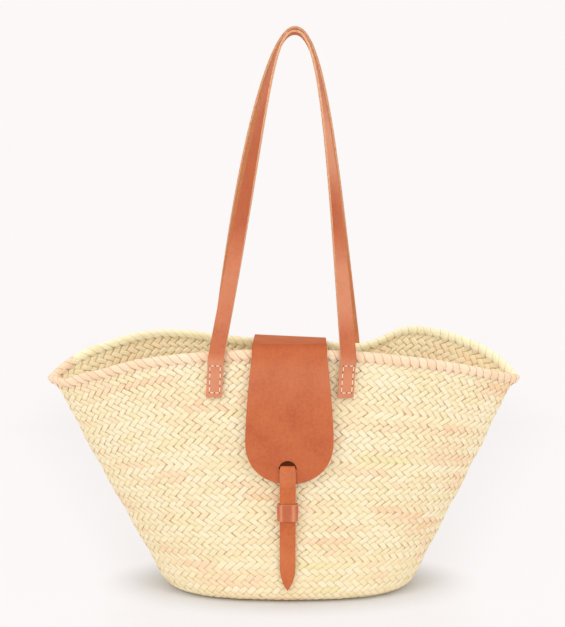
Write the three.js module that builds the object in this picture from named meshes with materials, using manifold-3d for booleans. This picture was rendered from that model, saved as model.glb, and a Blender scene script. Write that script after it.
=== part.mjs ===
// A plaited palm-leaf basket bag with leather handles, a leather flap and a closing strap.
// Millimetres, +Z up. The basket stands on its floor, centred on the origin, with its front towards -Y.
// Every course of the wall, the floor and the rim follows one wall surface, and every piece of leather
// is set out from that surface by a stated distance.

import * as THREE from 'three';
import { mergeVertices } from 'three/addons/utils/BufferGeometryUtils.js';
import Module from 'manifold-3d';

const wasm = await Module();
wasm.setup();

// Driving dimensions

// Wall outline: half-lengths run along X, half-depths along Y
const floorHalfLength = 146.5;
const floorHalfDepth = 83;
const mouthHalfLength = 278;
const mouthHalfDepth = 92;
const floorSquareness = 0.25; // fills the corners of the floor oval
const mouthPinch = 0.45; // draws in the two ends of the mouth
const wallBelly = 5; // how far front and back bow out at half height
const mouthShift = -6; // the hand-made mouth sits a little to the left of the floor
const endHollow = 3.5; // how far the two ends draw in below the rim, before they flare out to it
const endHollowPower = 8; // a higher power keeps the hollow nearer the rim
const floorCornerReach = 20; // rounded floor edge, measured along the floor
const floorCornerRise = 14; // and up the wall

// Height of the plaited edge, under the rim roll
const endEdgeHeight = 246;
const frontEdgeHeight = 285.5;
const backEdgeHeight = 279.5;
// How soon the edge climbs from the ends to its middle height
const frontEdgeFullness = 2;
const backEdgeFullness = { left: 10, right: 12 };
// Waves that the hand-made edge has: how far each rises or dips, and how far it leans back
const frontTipRise = -54;
const frontLeftRise = -15;
const backLeftRise = 15;
const backLeftLean = 4;
const backMiddleRise = -5;
const backRightRise = 18;
const backRightLean = 22;
// Their places and spreads are shares of the half-length
const edgeWaves = [
  { side: -1, place: -0.95, spreadLeft: 0.07, spreadRight: 0.07, rise: frontTipRise, lean: 0 },
  { side: -1, place: -0.82, spreadLeft: 0.13, spreadRight: 0.13, rise: frontLeftRise, lean: 0 },
  { side: 1, place: -0.55, spreadLeft: 0.24, spreadRight: 0.3, rise: backLeftRise, lean: backLeftLean },
  { side: 1, place: 0.34, spreadLeft: 0.16, spreadRight: 0.1, rise: backMiddleRise, lean: 0 },
  { side: 1, place: 0.59, spreadLeft: 0.15, spreadRight: 0.28, rise: backRightRise, lean: backRightLean },
];

// Plait
const wallThickness = 4;
const courseCount = 5;
const courseCrown = 1; // how far the middle of a course stands out past its seams
const crownShoulder = 0.25; // where the crown of a course is cut, as a share of its height
const seamGap = 0.3;
const stationCount = 72;

// Rim roll
const rollHeight = 12;
const rollThickness = 10;
const rollSeat = 3; // how far the plaited edge goes into the roll
const rollSteps = 9;
const seatClearance = 0.4;
const underRollRoom = 4.5; // the top of the plait loses its crown this far below its edge

// Leather
const handleThickness = 3;
const handleWidth = 18;
const tabThickness = 1.8;
const flapThickness = 2.4;
const strapThickness = 2.2;
const leatherClearance = 0.35; // between two pieces of leather, or leather and plait
const cutEdgeShare = 0.22; // bevel of a cut edge, as a share of the thickness
const bendGap = 0.3; // between the two parts of a strap, where it bends as a hinge

// Handles: feet, arch tops and the points that draw each leg in. A leg makes a quarter turn on the way up,
// and a longer twist delay leaves more of that turn to the part near the arch
const sewnEndHeight = 239.5; // lower edge of the sewn ends
const sewnEndShift = -3; // the sewn ends lean, so their lower edge lies a little to the left
const frontFeet = [-80.7, 65.1];
const backFeet = [-87, 82];
const archPlace = 7;
const frontArchHeight = 658;
const backArchHeight = 666;
const archGap = 0.8; // between the two handles, where they lean together
const frontLeftShoulder = [-29, 560]; // place and height of the point that draws the leg
const frontLeftCrown = -21; // place of the point beside the arch that draws it
const frontRightShoulder = [45, 560];
const frontRightCrown = 33;
const backLeftShoulder = [-59, 505];
const backLeftCrown = -26;
const backRightShoulder = [52, 517];
const backRightCrown = 43;
const frontLegDraw = [
  { shoulder: frontLeftShoulder, crown: frontLeftCrown, twistDelay: 1.4 },
  { shoulder: frontRightShoulder, crown: frontRightCrown, twistDelay: 0.85 },
];
const backLegDraw = [
  { shoulder: backLeftShoulder, crown: backLeftCrown, twistDelay: 1.3 },
  { shoulder: backRightShoulder, crown: backRightCrown, twistDelay: 1.3 },
];
const shoulderLean = 0.34; // share of the lean towards the middle that a leg has made at its shoulder
const legStations = 16;

// Flap: places are its middle along X
const flapPlace = 0.2;
const flapFoldPlace = 2.6; // over the back rim
const flapFoldWidth = 91;
const flapNeckWidth = 84; // over the front rim
const flapWidth = 99;
const flapRoundHeight = 191.4; // where the rounded lower end begins
const flapRoundDrop = 48.2;
const flapRoundSquareness = 2.2; // 2 would be a true ellipse
const flapFoldTilt = 2.8; // degrees that the fold at the back rim slopes down to the right
const flapFoldLift = 0.8; // the leather doesn't hug the roll at the fold
const flapRimRadius = 10; // of its wider bend over the front rim
const flapRimLift = 2; // and how far that bend stands off the top of the roll
const flapTailHeight = 226; // lower edge of the tail, which is sewn to the back wall
const flapTailCorner = 12;
const flapNeckFullness = 1.5; // how soon the flap widens below the front rim
const underRollDrop = 7.5; // how far under the middle of the roll a strap bends in to the wall
const underRollRun = 8; // height of that bend

// Closing strap, its slot in the flap and its keeper
const strapPlace = -1.7;
const strapWidth = 18;
const strapFoldHeight = 160; // centre of the fold over the lower lip of the slot
const strapRootHeight = 96;
const strapTipHeight = 17.5;
const strapPointLength = 34;
const strapPointFullness = 2.8; // how full the sides of the point are
const strapSettle = 0.6; // share of the way in to its rest that the strap makes by the middle of a stretch
const slotRadius = 10.8;
const slotTopHeight = 169.6;
const slotLipDrop = 0.4; // how far the lip lies below the centre of the fold
const keeperHeight = 19;
const keeperMiddle = 110.3;
const keeperThickness = 1.6;
const keeperSideClearance = 1.3;
const keeperCornerRadius = 2.2;

// Shared sums

const fullTurn = Math.PI * 2;
const quarterTurn = Math.PI / 2;
const upright = new THREE.Vector3(0, 0, 1);
const front = -1;
const back = 1;
const mix = THREE.MathUtils.lerp;
// Evenly spaced values, both ends among them
const spaced = (from, to, steps) => Array.from({ length: steps + 1 }, (_, s) => mix(from, to, s / steps));
const cornerRun = Math.hypot(floorCornerReach, floorCornerRise); // near enough the length of the corner
const wallRise = frontEdgeHeight - floorCornerRise;
const wallRun = cornerRun + Math.hypot(wallRise, mouthHalfDepth - floorHalfDepth);
const plaitWidth = wallRun / courseCount;
const leatherBase = courseCrown + leatherClearance; // stand-off of leather that lies on the plait
const rollFace = (rollThickness - wallThickness) / 2; // how far the roll stands out past the wall

// Finishes

const finish = (name, color, roughness) =>
  new THREE.MeshStandardMaterial({ name, color, roughness, metalness: 0 });
const leafFinish = () => finish('palm_leaf', 0xe6d6a2, 0.75);
const rimFinish = () => finish('rim_leaf', 0xdcbf95, 0.75);
const leatherFinish = () => finish('tan_leather', 0xc66a42, 0.55);

const basket = new THREE.Group();

function place(name, geometry, material) {
  const mesh = new THREE.Mesh(geometry, material);
  mesh.name = name;
  basket.add(mesh);
  return mesh;
}

// Solid building

function signedVolume(points, faces) {
  let volume = 0;
  for (const [a, b, c] of faces) {
    volume += points[a].dot(new THREE.Vector3().crossVectors(points[b], points[c]));
  }
  return volume / 6;
}

function solidFrom(points, faces) {
  const outward = signedVolume(points, faces) > 0;
  const geometry = new THREE.BufferGeometry();
  geometry.setFromPoints(points);
  geometry.setIndex(faces.flatMap(([a, b, c]) => (outward ? [a, b, c] : [a, c, b])));
  return geometry;
}

// Joins sections of equal point counts into one closed body, either end to end or round a loop
function loft(sections, looped = false) {
  const size = sections[0].length;
  const points = sections.flat();
  const faces = [];
  const spans = looped ? sections.length : sections.length - 1;
  for (let s = 0; s < spans; s += 1) {
    const here = s * size;
    const next = ((s + 1) % sections.length) * size;
    for (let p = 0; p < size; p += 1) {
      const q = (p + 1) % size;
      faces.push([here + p, next + p, next + q], [here + p, next + q, here + q]);
    }
  }
  if (!looped) {
    const last = (sections.length - 1) * size;
    for (let p = 1; p < size - 1; p += 1) {
      faces.push([0, p, p + 1], [last, last + p + 1, last + p]);
    }
  }
  return solidFrom(points, faces);
}

function toManifold(geometry) {
  const plain = geometry.clone();
  plain.deleteAttribute('normal');
  plain.deleteAttribute('uv');
  const merged = mergeVertices(plain, 1e-4);
  return new wasm.Manifold(new wasm.Mesh({
    numProp: 3,
    vertProperties: new Float32Array(merged.attributes.position.array),
    triVerts: new Uint32Array(merged.index.array),
  }));
}

function cutFrom(geometry, tool) {
  const result = toManifold(geometry).subtract(toManifold(tool)).getMesh();
  const cut = new THREE.BufferGeometry();
  cut.setAttribute('position', new THREE.BufferAttribute(result.vertProperties, 3));
  cut.setIndex(new THREE.BufferAttribute(result.triVerts, 1));
  return cut;
}

// The wall surface

// A squarish oval for a negative pinch, one with tight ends for a positive pinch
function ovalPoint(around, halfLength, halfDepth, pinch) {
  const along = Math.cos(around);
  return [halfLength * along, halfDepth * Math.sin(around) * (1 - pinch * along ** 2)];
}

function ovalNormal(around, halfLength, halfDepth, pinch) {
  const along = Math.cos(around);
  const across = Math.sin(around);
  const dx = -halfLength * across;
  const dy = halfDepth * along * (1 - pinch * along ** 2 + 2 * pinch * across ** 2);
  const length = Math.hypot(dx, dy);
  return [dy / length, -dx / length];
}

function edgeWave(around, part) {
  const side = Math.sign(Math.sin(around)) || front;
  let sum = 0;
  for (const wave of edgeWaves) {
    const offset = Math.cos(around) - wave.place;
    const distance = offset / (offset < 0 ? wave.spreadLeft : wave.spreadRight);
    if (wave.side === side) sum += wave[part] * Math.exp(-(distance ** 2));
  }
  return sum;
}

function edgeFullness(around) {
  const along = Math.cos(around);
  const backPower = along < 0 ? backEdgeFullness.left : backEdgeFullness.right;
  const power = Math.sin(around) < 0 ? frontEdgeFullness : backPower;
  return 1 - Math.abs(along) ** power;
}

function edgeHeight(around) {
  const middle = Math.sin(around) < 0 ? frontEdgeHeight : backEdgeHeight;
  const gain = middle - endEdgeHeight + edgeWave(around, 'rise');
  return endEdgeHeight + edgeFullness(around) * gain;
}

function wallHalfLength(climb) {
  const hollow = endHollow * Math.sin(Math.PI * climb ** endHollowPower);
  return mix(floorHalfLength, mouthHalfLength, climb) - hollow;
}

// A point of the straight wall, at a share of its height that may start on the floor itself
function wallLine(around, climb) {
  const depth = mix(floorHalfDepth, mouthHalfDepth, climb) + wallBelly * Math.sin(Math.PI * climb);
  const pinch = mix(-floorSquareness, mouthPinch, climb);
  const [x, y] = ovalPoint(around, wallHalfLength(climb), depth, pinch);
  const lean = edgeWave(around, 'lean') * edgeFullness(around) * climb ** 2;
  return new THREE.Vector3(x + mouthShift * climb, y + lean, edgeHeight(around) * climb);
}

// The outer surface of the wall: run is measured from the floor, round the corner and up
function wallPoint(around, run) {
  const cornerClimb = floorCornerRise / edgeHeight(around);
  if (run >= cornerRun) {
    return wallLine(around, mix(cornerClimb, 1, (run - cornerRun) / (wallRun - cornerRun)));
  }
  const [nx, ny] = ovalNormal(around, floorHalfLength, floorHalfDepth, -floorSquareness);
  const knee = wallLine(around, 0);
  const inner = knee.clone().sub(new THREE.Vector3(nx, ny, 0).multiplyScalar(floorCornerReach));
  const corner = new THREE.QuadraticBezierCurve3(inner, knee, wallLine(around, cornerClimb));
  return corner.getPoint(Math.max(run, 0) / cornerRun);
}

function wallNormal(around, run) {
  const step = 1e-3;
  const rise = 0.5;
  const alongWall = wallPoint(around + step, run).sub(wallPoint(around - step, run));
  const low = Math.max(run - rise, 0);
  const upWall = wallPoint(around, low + 2 * rise).sub(wallPoint(around, low));
  return alongWall.cross(upWall).normalize();
}

function wallSkin(around, run, standOff) {
  return wallPoint(around, run).addScaledVector(wallNormal(around, run), standOff);
}

// Where the wall surface has a given x and height, on its front or back
function wallAt(side, x, height) {
  let climb = height / frontEdgeHeight;
  let around = 0;
  const passes = 12;
  for (let pass = 0; pass < passes; pass += 1) {
    around = side * Math.acos((x - mouthShift * climb) / wallHalfLength(climb));
    climb = height / edgeHeight(around);
  }
  const cornerClimb = floorCornerRise / edgeHeight(around);
  const share = Math.max(0, (climb - cornerClimb) / (1 - cornerClimb));
  return { around, run: mix(cornerRun, wallRun, share), point: wallLine(around, climb) };
}

// Floor and wall courses

const stationAngles = Array.from({ length: stationCount }, (_, s) => (s / stationCount) * fullTurn);

function courseSection(around, low, high, crown, steps) {
  const outer = [];
  const inner = [];
  for (const share of steps) {
    const swell = crown * Math.sin(Math.PI * share);
    const run = mix(low, high, share);
    outer.push(wallSkin(around, run, swell));
    inner.unshift(wallSkin(around, run, -wallThickness));
  }
  return [...outer, ...inner];
}

function wallCourse(index) {
  const low = index * plaitWidth + seamGap / 2;
  const high = (index + 1) * plaitWidth - (index === courseCount - 1 ? 0 : seamGap / 2);
  const bottom = index === 0;
  const corner = cornerRun / high;
  const underRoll = index === courseCount - 1 ? [1 - underRollRoom / plaitWidth] : [];
  const wallSteps = [0, crownShoulder, 1 - crownShoulder, ...underRoll, 1];
  const steps = bottom ? [...spaced(0, corner, 3), 1] : wallSteps;
  const sections = stationAngles.map((around) =>
    courseSection(around, bottom ? 0 : low, high, bottom ? 0 : courseCrown, steps));
  return loft(sections, true);
}

const centreHalfDepth = plaitWidth / 2;
const floorEdgeDepth = floorHalfDepth - floorCornerReach;
const floorTurnWidth = floorEdgeDepth - centreHalfDepth;
const centreHalfLength = floorHalfLength - floorCornerReach - floorTurnWidth;

// The turn of plait between the centre strip and the floor corner
function floorTurn() {
  const sections = stationAngles.map((around) => {
    const [nx, ny] = ovalNormal(around, floorHalfLength, floorHalfDepth, -floorSquareness);
    const outer = wallPoint(around, 0).sub(new THREE.Vector3(nx, ny, 0).multiplyScalar(seamGap));
    const [x, y] = ovalPoint(around, centreHalfLength + seamGap, centreHalfDepth + seamGap, -floorSquareness);
    const inner = new THREE.Vector3(x, y, 0);
    const lift = new THREE.Vector3(0, 0, wallThickness);
    return [inner, outer, outer.clone().add(lift), inner.clone().add(lift)];
  });
  return loft(sections, true);
}

function floorCentre() {
  const outline = stationAngles.map((around) => {
    const [x, y] = ovalPoint(around, centreHalfLength, centreHalfDepth, -floorSquareness);
    return new THREE.Vector2(x, y);
  });
  return new THREE.ExtrudeGeometry(new THREE.Shape(outline), { depth: wallThickness, bevelEnabled: false });
}

place('floor_plait_centre', floorCentre(), leafFinish());
place('floor_plait_turn', floorTurn(), leafFinish());
for (let index = 0; index < courseCount; index += 1) {
  place(`wall_plait_turn_${index + 1}`, wallCourse(index), leafFinish());
}

const rollLift = rollHeight / 2 - rollSeat; // of the roll's centre above the plaited edge

function rollFrame(around) {
  const edge = wallPoint(around, wallRun);
  const normal = wallNormal(around, wallRun);
  const up = edge.clone().sub(wallPoint(around, wallRun - 1)).normalize();
  return { middle: edge.addScaledVector(normal, -wallThickness / 2), normal, up };
}

function rollCentreAt(side, x) {
  const around = side * Math.acos((x - mouthShift) / mouthHalfLength);
  const { middle, up } = rollFrame(around);
  return middle.addScaledVector(up, rollLift);
}

// The rim roll: an oval roll of leaf, square to the wall, with a slot that the plaited edge sits in
function rimSection(around) {
  const { middle, normal, up } = rollFrame(around);
  const halfSlot = wallThickness / 2 + seatClearance;
  const at = (out, lift) => middle.clone().addScaledVector(normal, out).addScaledVector(up, lift);
  const lip = Math.asin(halfSlot / (rollThickness / 2));
  const section = [];
  for (const angle of spaced(lip - quarterTurn, fullTurn - quarterTurn - lip, rollSteps)) {
    section.push(at((rollThickness / 2) * Math.cos(angle), rollLift + (rollHeight / 2) * Math.sin(angle)));
  }
  section.push(at(-halfSlot, seatClearance), at(halfSlot, seatClearance));
  return section;
}

place('rim_roll', loft(stationAngles.map(rimSection), true), rimFinish());

// Leather strips

// One section of a strip: a rectangle with bevelled cut edges
function stripSection({ centre, across, facing, width }, thickness) {
  const half = width / 2;
  const deep = thickness / 2;
  const cut = Math.min(thickness * cutEdgeShare, half / 2);
  const at = (a, f) => centre.clone().addScaledVector(across, a).addScaledVector(facing, f);
  return [
    at(half, -deep + cut), at(half, deep - cut), at(half - cut, deep), at(-half + cut, deep),
    at(-half, deep - cut), at(-half, -deep + cut), at(-half + cut, -deep), at(half - cut, -deep),
  ];
}

// Stations know their centre and which way their width lies; the grain side follows from the path
function strip(stations, thickness, grainSide) {
  const sections = stations.map((station, index) => {
    const before = stations[Math.max(index - 1, 0)].centre;
    const after = stations[Math.min(index + 1, stations.length - 1)].centre;
    const tangent = station.tangent ?? after.clone().sub(before).normalize();
    const facing = tangent.clone().cross(station.across).normalize().multiplyScalar(grainSide);
    return stripSection({ ...station, facing }, thickness);
  });
  return loft(sections);
}

// A strip station that lies on the wall at a height, set out by a distance from the plait
function stationOnWall(side, x, height, standOff, width) {
  const { around, run, point } = wallAt(side, x, height);
  const step = 1e-3;
  const across = wallPoint(around + step, run).sub(wallPoint(around - step, run)).setZ(0).normalize();
  const normal = wallNormal(around, run);
  return { centre: point.clone().addScaledVector(normal, standOff), across, width };
}

// Handles

const tabStandOff = leatherBase + tabThickness / 2;
const endStandOff = leatherBase + tabThickness + leatherClearance + handleThickness / 2;
const tabRimStandOff = rollFace + leatherClearance + tabThickness / 2;
const endRimStandOff = tabRimStandOff + (endStandOff - tabStandOff);

// Where the two legs of a handle leave their sewn ends: level with the middle of the roll
function bendHeight(side, feet) {
  const levels = feet.map((x) => rollCentreAt(side, x).z);
  return (levels[0] + levels[1]) / 2;
}

function sewnStrip(side, feet, index, [low, high], thickness) {
  const top = bendHeight(side, feet) - bendGap / 2;
  const rollUnder = top - underRollDrop;
  const wallTop = rollUnder - underRollRun;
  const heights = [sewnEndHeight, mix(sewnEndHeight, wallTop, 0.5), wallTop, rollUnder, top];
  const outs = [low, low, low, high, high];
  const stations = heights.map((height, step) => {
    const shift = sewnEndShift * ((top - height) / (top - sewnEndHeight));
    return stationOnWall(side, feet[index] + shift, height, outs[step], handleWidth);
  });
  stations.at(-1).tangent = upright;
  return strip(stations, thickness, 1);
}

function handleLeg(side, feet, index, draw, archHeight) {
  const height = bendHeight(side, feet);
  const foot = stationOnWall(side, feet[index], height, endRimStandOff, handleWidth);
  const start = foot.centre.clone().setZ(height + bendGap / 2);
  const archY = side * (handleWidth / 2 + archGap / 2);
  const shoulderY = mix(start.y, archY, shoulderLean);
  const [shoulderX, shoulderHeight] = draw.shoulder;
  const curve = new THREE.CubicBezierCurve3(
    start,
    new THREE.Vector3(shoulderX, shoulderY, shoulderHeight),
    new THREE.Vector3(draw.crown, archY, archHeight),
    new THREE.Vector3(archPlace, archY, archHeight),
  );
  return { curve, footAcross: foot.across, twistDelay: draw.twistDelay };
}

// The strap turns a quarter turn on the way up, so that it lies flat over the arch
function handle(side, feet, draws, archHeight) {
  const legs = draws.map((draw, index) => handleLeg(side, feet, index, draw, archHeight));
  const stations = [];
  legs.forEach(({ curve, footAcross, twistDelay }, legIndex) => {
    const outward = legIndex === 0 ? -1 : 1;
    const leg = [];
    for (let s = 0; s <= legStations; s += 1) {
      const share = s / legStations;
      const centre = curve.getPoint(share);
      const tangent = s === 0 ? upright.clone() : curve.getTangent(share);
      const level = footAcross.clone();
      if (level.x < 0) level.negate();
      const climb = (centre.z - curve.v0.z) / (curve.v3.z - curve.v0.z);
      const twist = quarterTurn * climb ** twistDelay;
      const archAcross = new THREE.Vector3(0, side, 0);
      const across = level.multiplyScalar(-outward * Math.cos(twist))
        .addScaledVector(archAcross, Math.sin(twist));
      across.addScaledVector(tangent, -across.dot(tangent)).normalize();
      leg.push({ centre, across, tangent, width: handleWidth });
    }
    if (legIndex === 0) {
      stations.push(...leg);
    } else {
      leg.pop();
      leg.reverse();
      for (const station of leg) station.tangent.negate();
      stations.push(...leg);
    }
  });
  return strip(stations, handleThickness, 1);
}

const handleSides = [
  { name: 'front', side: front, feet: frontFeet, draws: frontLegDraw, arch: frontArchHeight },
  { name: 'back', side: back, feet: backFeet, draws: backLegDraw, arch: backArchHeight },
];
for (const { name, side, feet, draws, arch } of handleSides) {
  place(`${name}_handle`, handle(side, feet, draws, arch), leatherFinish());
  ['left', 'right'].forEach((end, index) => {
    const sewn = sewnStrip(side, feet, index, [endStandOff, endRimStandOff], handleThickness);
    const tab = sewnStrip(side, feet, index, [tabStandOff, tabRimStandOff], tabThickness);
    place(`${name}_handle_end_${end}`, sewn, leatherFinish());
    place(`${name}_handle_tab_${end}`, tab, leatherFinish());
  });
}

// Flap

const flapOut = rollThickness / 2 + leatherClearance + flapThickness / 2; // from a roll's centre, sideways
const flapOver = rollHeight / 2 + leatherClearance + flapThickness / 2; // and over its top
const strapStandOff = leatherBase + keeperThickness + leatherClearance + strapThickness / 2;
const layerStep = (strapThickness + flapThickness) / 2 + leatherClearance;
const flapStandOff = strapStandOff + layerStep; // of the lower flap, over the rear leg of the strap
const frontLegStandOff = flapStandOff + layerStep;
const keptLegStandOff = strapStandOff + strapThickness + leatherClearance;

// The middle of the roll under the flap, as far out as the roll reaches anywhere across its width
function rollUnderFlap(side, place, width) {
  const centre = rollCentreAt(side, place);
  const reach = spaced(place - width / 2, place + width / 2, 4).map((x) => rollCentreAt(side, x).y * side);
  return centre.setY(side * Math.max(...reach));
}

const backRoll = rollUnderFlap(back, flapFoldPlace, flapFoldWidth);
const frontRoll = rollUnderFlap(front, flapPlace, flapNeckWidth);

function flapStation(x, y, z, width, tilt = 0) {
  const angle = THREE.MathUtils.degToRad(tilt);
  const across = new THREE.Vector3(Math.cos(angle), 0, -Math.sin(angle));
  return { centre: new THREE.Vector3(x, y, z), across, width };
}

function hangingWidth(height) {
  const share = (height - flapRoundHeight) / (frontRoll.z - flapRoundHeight);
  if (share > 0) return mix(flapWidth, flapNeckWidth, share ** flapNeckFullness);
  const drop = (flapRoundHeight - height) / flapRoundDrop;
  return flapWidth * (1 - drop ** flapRoundSquareness) ** (1 / flapRoundSquareness);
}

const roundAngle = quarterTurn * 0.95; // the round end stops in a short straight cut
const roundSteps = 9;

// From the bend at the back rim, over the mouth, over the front rim and down the front wall
function flapStations() {
  const hinge = flapStation(flapFoldPlace, backRoll.y + flapOut, backRoll.z + bendGap / 2, flapFoldWidth);
  const stations = [{ ...hinge, tangent: upright }];
  for (const share of spaced(0, 1, 6).slice(1)) {
    const y = backRoll.y + flapOut * Math.cos(share * quarterTurn);
    const z = backRoll.z + (flapOver + flapFoldLift) * Math.sin(share * quarterTurn);
    stations.push(flapStation(flapFoldPlace, y, z, flapFoldWidth, flapFoldTilt * share));
  }
  const backTop = backRoll.z + flapOver + flapFoldLift;
  const frontTop = frontRoll.z + flapOver + flapRimLift;
  const bendY = frontRoll.y - flapOut + flapRimRadius;
  const bendZ = frontTop - flapRimRadius;
  for (const share of spaced(0, 1, 4).slice(1, -1)) {
    const x = mix(flapFoldPlace, flapPlace, share);
    const y = mix(backRoll.y, bendY, share);
    const z = mix(backTop, frontTop, share);
    const width = mix(flapFoldWidth, flapNeckWidth, share);
    stations.push(flapStation(x, y, z, width, flapFoldTilt * (1 - share)));
  }
  for (const share of spaced(0, 1, 5)) {
    const y = bendY - flapRimRadius * Math.sin(share * quarterTurn);
    const z = bendZ + flapRimRadius * Math.cos(share * quarterTurn);
    stations.push(flapStation(flapPlace, y, z, flapNeckWidth));
  }
  const hangTop = stations.at(-1).centre;
  const standOffWall = (height) =>
    stationOnWall(front, flapPlace, height, flapStandOff, flapWidth).centre.y;
  const addHang = (height) => {
    const share = (hangTop.z - height) / (hangTop.z - slotTopHeight);
    const straight = mix(hangTop.y, standOffWall(slotTopHeight), share);
    const y = share < 1 ? straight : standOffWall(height);
    stations.push(flapStation(flapPlace, y, height, hangingWidth(height)));
  };
  for (const height of spaced(hangTop.z, flapRoundHeight, 5).slice(1)) addHang(height);
  for (const angle of spaced(0, roundAngle, roundSteps).slice(1)) {
    addHang(flapRoundHeight - flapRoundDrop * Math.sin(angle));
  }
  return stations;
}

// A slot with a round top and a straight lower lip
function slotTool() {
  const centre = slotTopHeight - slotRadius;
  const lip = strapFoldHeight - slotLipDrop;
  const lipAngle = Math.asin((lip - centre) / slotRadius);
  const outline = new THREE.Shape();
  outline.absarc(strapPlace, centre, slotRadius, lipAngle, Math.PI - lipAngle, false);
  outline.closePath();
  const reach = mouthHalfDepth;
  const tool = new THREE.ExtrudeGeometry(outline, { depth: reach, bevelEnabled: false, curveSegments: 16 });
  return tool.rotateX(quarterTurn).translate(0, -reach / 2, 0);
}

const cornerCut = 0.1; // the corners of the tail are rounded from this share of their height

// The tail lies on the back wall and bends out over the side of the roll
function flapTail() {
  const top = backRoll.z - bendGap / 2;
  const rollUnder = top - underRollDrop;
  const stations = [];
  const add = (height, standOff, width) => {
    const { centre } = stationOnWall(back, flapFoldPlace, height, standOff, width);
    stations.push(flapStation(flapFoldPlace, centre.y, height, width));
  };
  const low = leatherBase + flapThickness / 2;
  for (const share of spaced(cornerCut, 1, 3)) {
    const inset = flapTailCorner * (1 - Math.sqrt(1 - (1 - share) ** 2));
    add(flapTailHeight + flapTailCorner * share, low, flapFoldWidth - 2 * inset);
  }
  add(rollUnder - underRollRun, low, flapFoldWidth);
  add(rollUnder, rollFace + leatherClearance + flapThickness / 2, flapFoldWidth);
  const bend = flapStation(flapFoldPlace, backRoll.y + flapOut, top, flapFoldWidth);
  stations.push({ ...bend, tangent: upright });
  return strip(stations, flapThickness, 1);
}

place('flap', cutFrom(strip(flapStations(), flapThickness, 1), slotTool()), leatherFinish());
place('flap_tail', flapTail(), leatherFinish());

// Closing strap

const strapAcross = new THREE.Vector3(1, 0, 0);

function strapStation(height, standOff, width = strapWidth) {
  const { centre } = stationOnWall(front, strapPlace, height, standOff, width);
  return { centre: centre.setX(strapPlace), across: strapAcross, width };
}

function strapRoot() {
  const top = strapFoldHeight - bendGap / 2;
  const stations = spaced(strapRootHeight, top, 2)
    .map((height) => strapStation(height, strapStandOff));
  stations.at(-1).tangent = upright;
  return strip(stations, strapThickness, 1);
}

const pointAngle = quarterTurn * 0.93; // the tip is a narrow cut, not a sharp point
const pointSteps = 7;

// Over the lip of the slot, down through the keeper and on to the point
function strapEnd() {
  const rear = strapStation(strapFoldHeight, strapStandOff).centre;
  const lead = strapStation(strapFoldHeight, frontLegStandOff).centre;
  const middle = rear.clone().add(lead).multiplyScalar(0.5);
  const radius = rear.distanceTo(lead) / 2;
  const stations = [];
  for (const angle of spaced(0, Math.PI, 4)) {
    const y = middle.y + radius * Math.cos(angle);
    const z = middle.z + radius * Math.sin(angle) + (angle === 0 ? bendGap / 2 : 0);
    const centre = new THREE.Vector3(strapPlace, y, z);
    stations.push({ centre, across: strapAcross, width: strapWidth });
  }
  stations[0].tangent = upright;
  const flapEnd = flapRoundHeight - flapRoundDrop;
  const keeperTop = keeperMiddle + keeperHeight / 2;
  const keeperFoot = keeperMiddle - keeperHeight / 2;
  const taper = strapTipHeight + strapPointLength;
  const restStandOff = leatherBase + strapThickness;
  stations.push(
    strapStation(mix(strapFoldHeight, flapEnd, 0.5), frontLegStandOff),
    strapStation(flapEnd, frontLegStandOff),
    strapStation(mix(flapEnd, keeperTop, 0.5), mix(frontLegStandOff, keptLegStandOff, strapSettle)),
    strapStation(keeperTop + strapThickness, keptLegStandOff),
    strapStation(keeperFoot - strapThickness, keptLegStandOff),
    strapStation(mix(keeperFoot, taper, 0.5), mix(keptLegStandOff, restStandOff, strapSettle)),
  );
  for (const angle of spaced(0, pointAngle, pointSteps)) {
    const share = Math.sin(angle);
    const width = strapWidth * (1 - share ** strapPointFullness);
    stations.push(strapStation(taper - strapPointLength * share, restStandOff, width));
  }
  return strip(stations, strapThickness, 1);
}

function roundedRectangle(path, halfWidth, low, high, radius) {
  const corners = [
    [halfWidth - radius, low + radius],
    [halfWidth - radius, high - radius],
    [radius - halfWidth, high - radius],
    [radius - halfWidth, low + radius],
  ];
  corners.forEach(([x, y], index) => {
    const start = (index - 1) * quarterTurn;
    path.absarc(x, y, radius, start, start + quarterTurn, false);
  });
  path.closePath();
  return path;
}

// A loop of leather round both legs of the strap, drawn in plan with the wall along Y = 0
function keeper() {
  const halfInside = strapWidth / 2 + keeperSideClearance;
  const near = leatherBase + keeperThickness;
  const far = keptLegStandOff + strapThickness / 2 + leatherClearance;
  const outline = roundedRectangle(
    new THREE.Shape(),
    halfInside + keeperThickness,
    -far - keeperThickness,
    -near + keeperThickness,
    keeperCornerRadius,
  );
  const innerRadius = Math.max(keeperCornerRadius - keeperThickness, keeperThickness / 4);
  outline.holes.push(roundedRectangle(new THREE.Path(), halfInside, -far, -near, innerRadius));
  const options = { depth: keeperHeight, bevelEnabled: false, curveSegments: 4 };
  return new THREE.ExtrudeGeometry(outline, options).translate(0, 0, -keeperHeight / 2);
}

place('closing_strap_root', strapRoot(), leatherFinish());
place('closing_strap_end', strapEnd(), leatherFinish());
const keeperAt = (height) => wallAt(front, strapPlace, height).point;
const keeperLean = keeperAt(keeperMiddle + keeperHeight / 2).sub(keeperAt(keeperMiddle - keeperHeight / 2));
const keeperMesh = place('strap_keeper', keeper(), leatherFinish());
keeperMesh.rotation.x = Math.atan2(-keeperLean.y, keeperLean.z);
keeperMesh.position.copy(keeperAt(keeperMiddle));

export default basket;
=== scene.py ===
import math

import bmesh
import bpy
import numpy as np
from mathutils import Matrix, Vector


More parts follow.
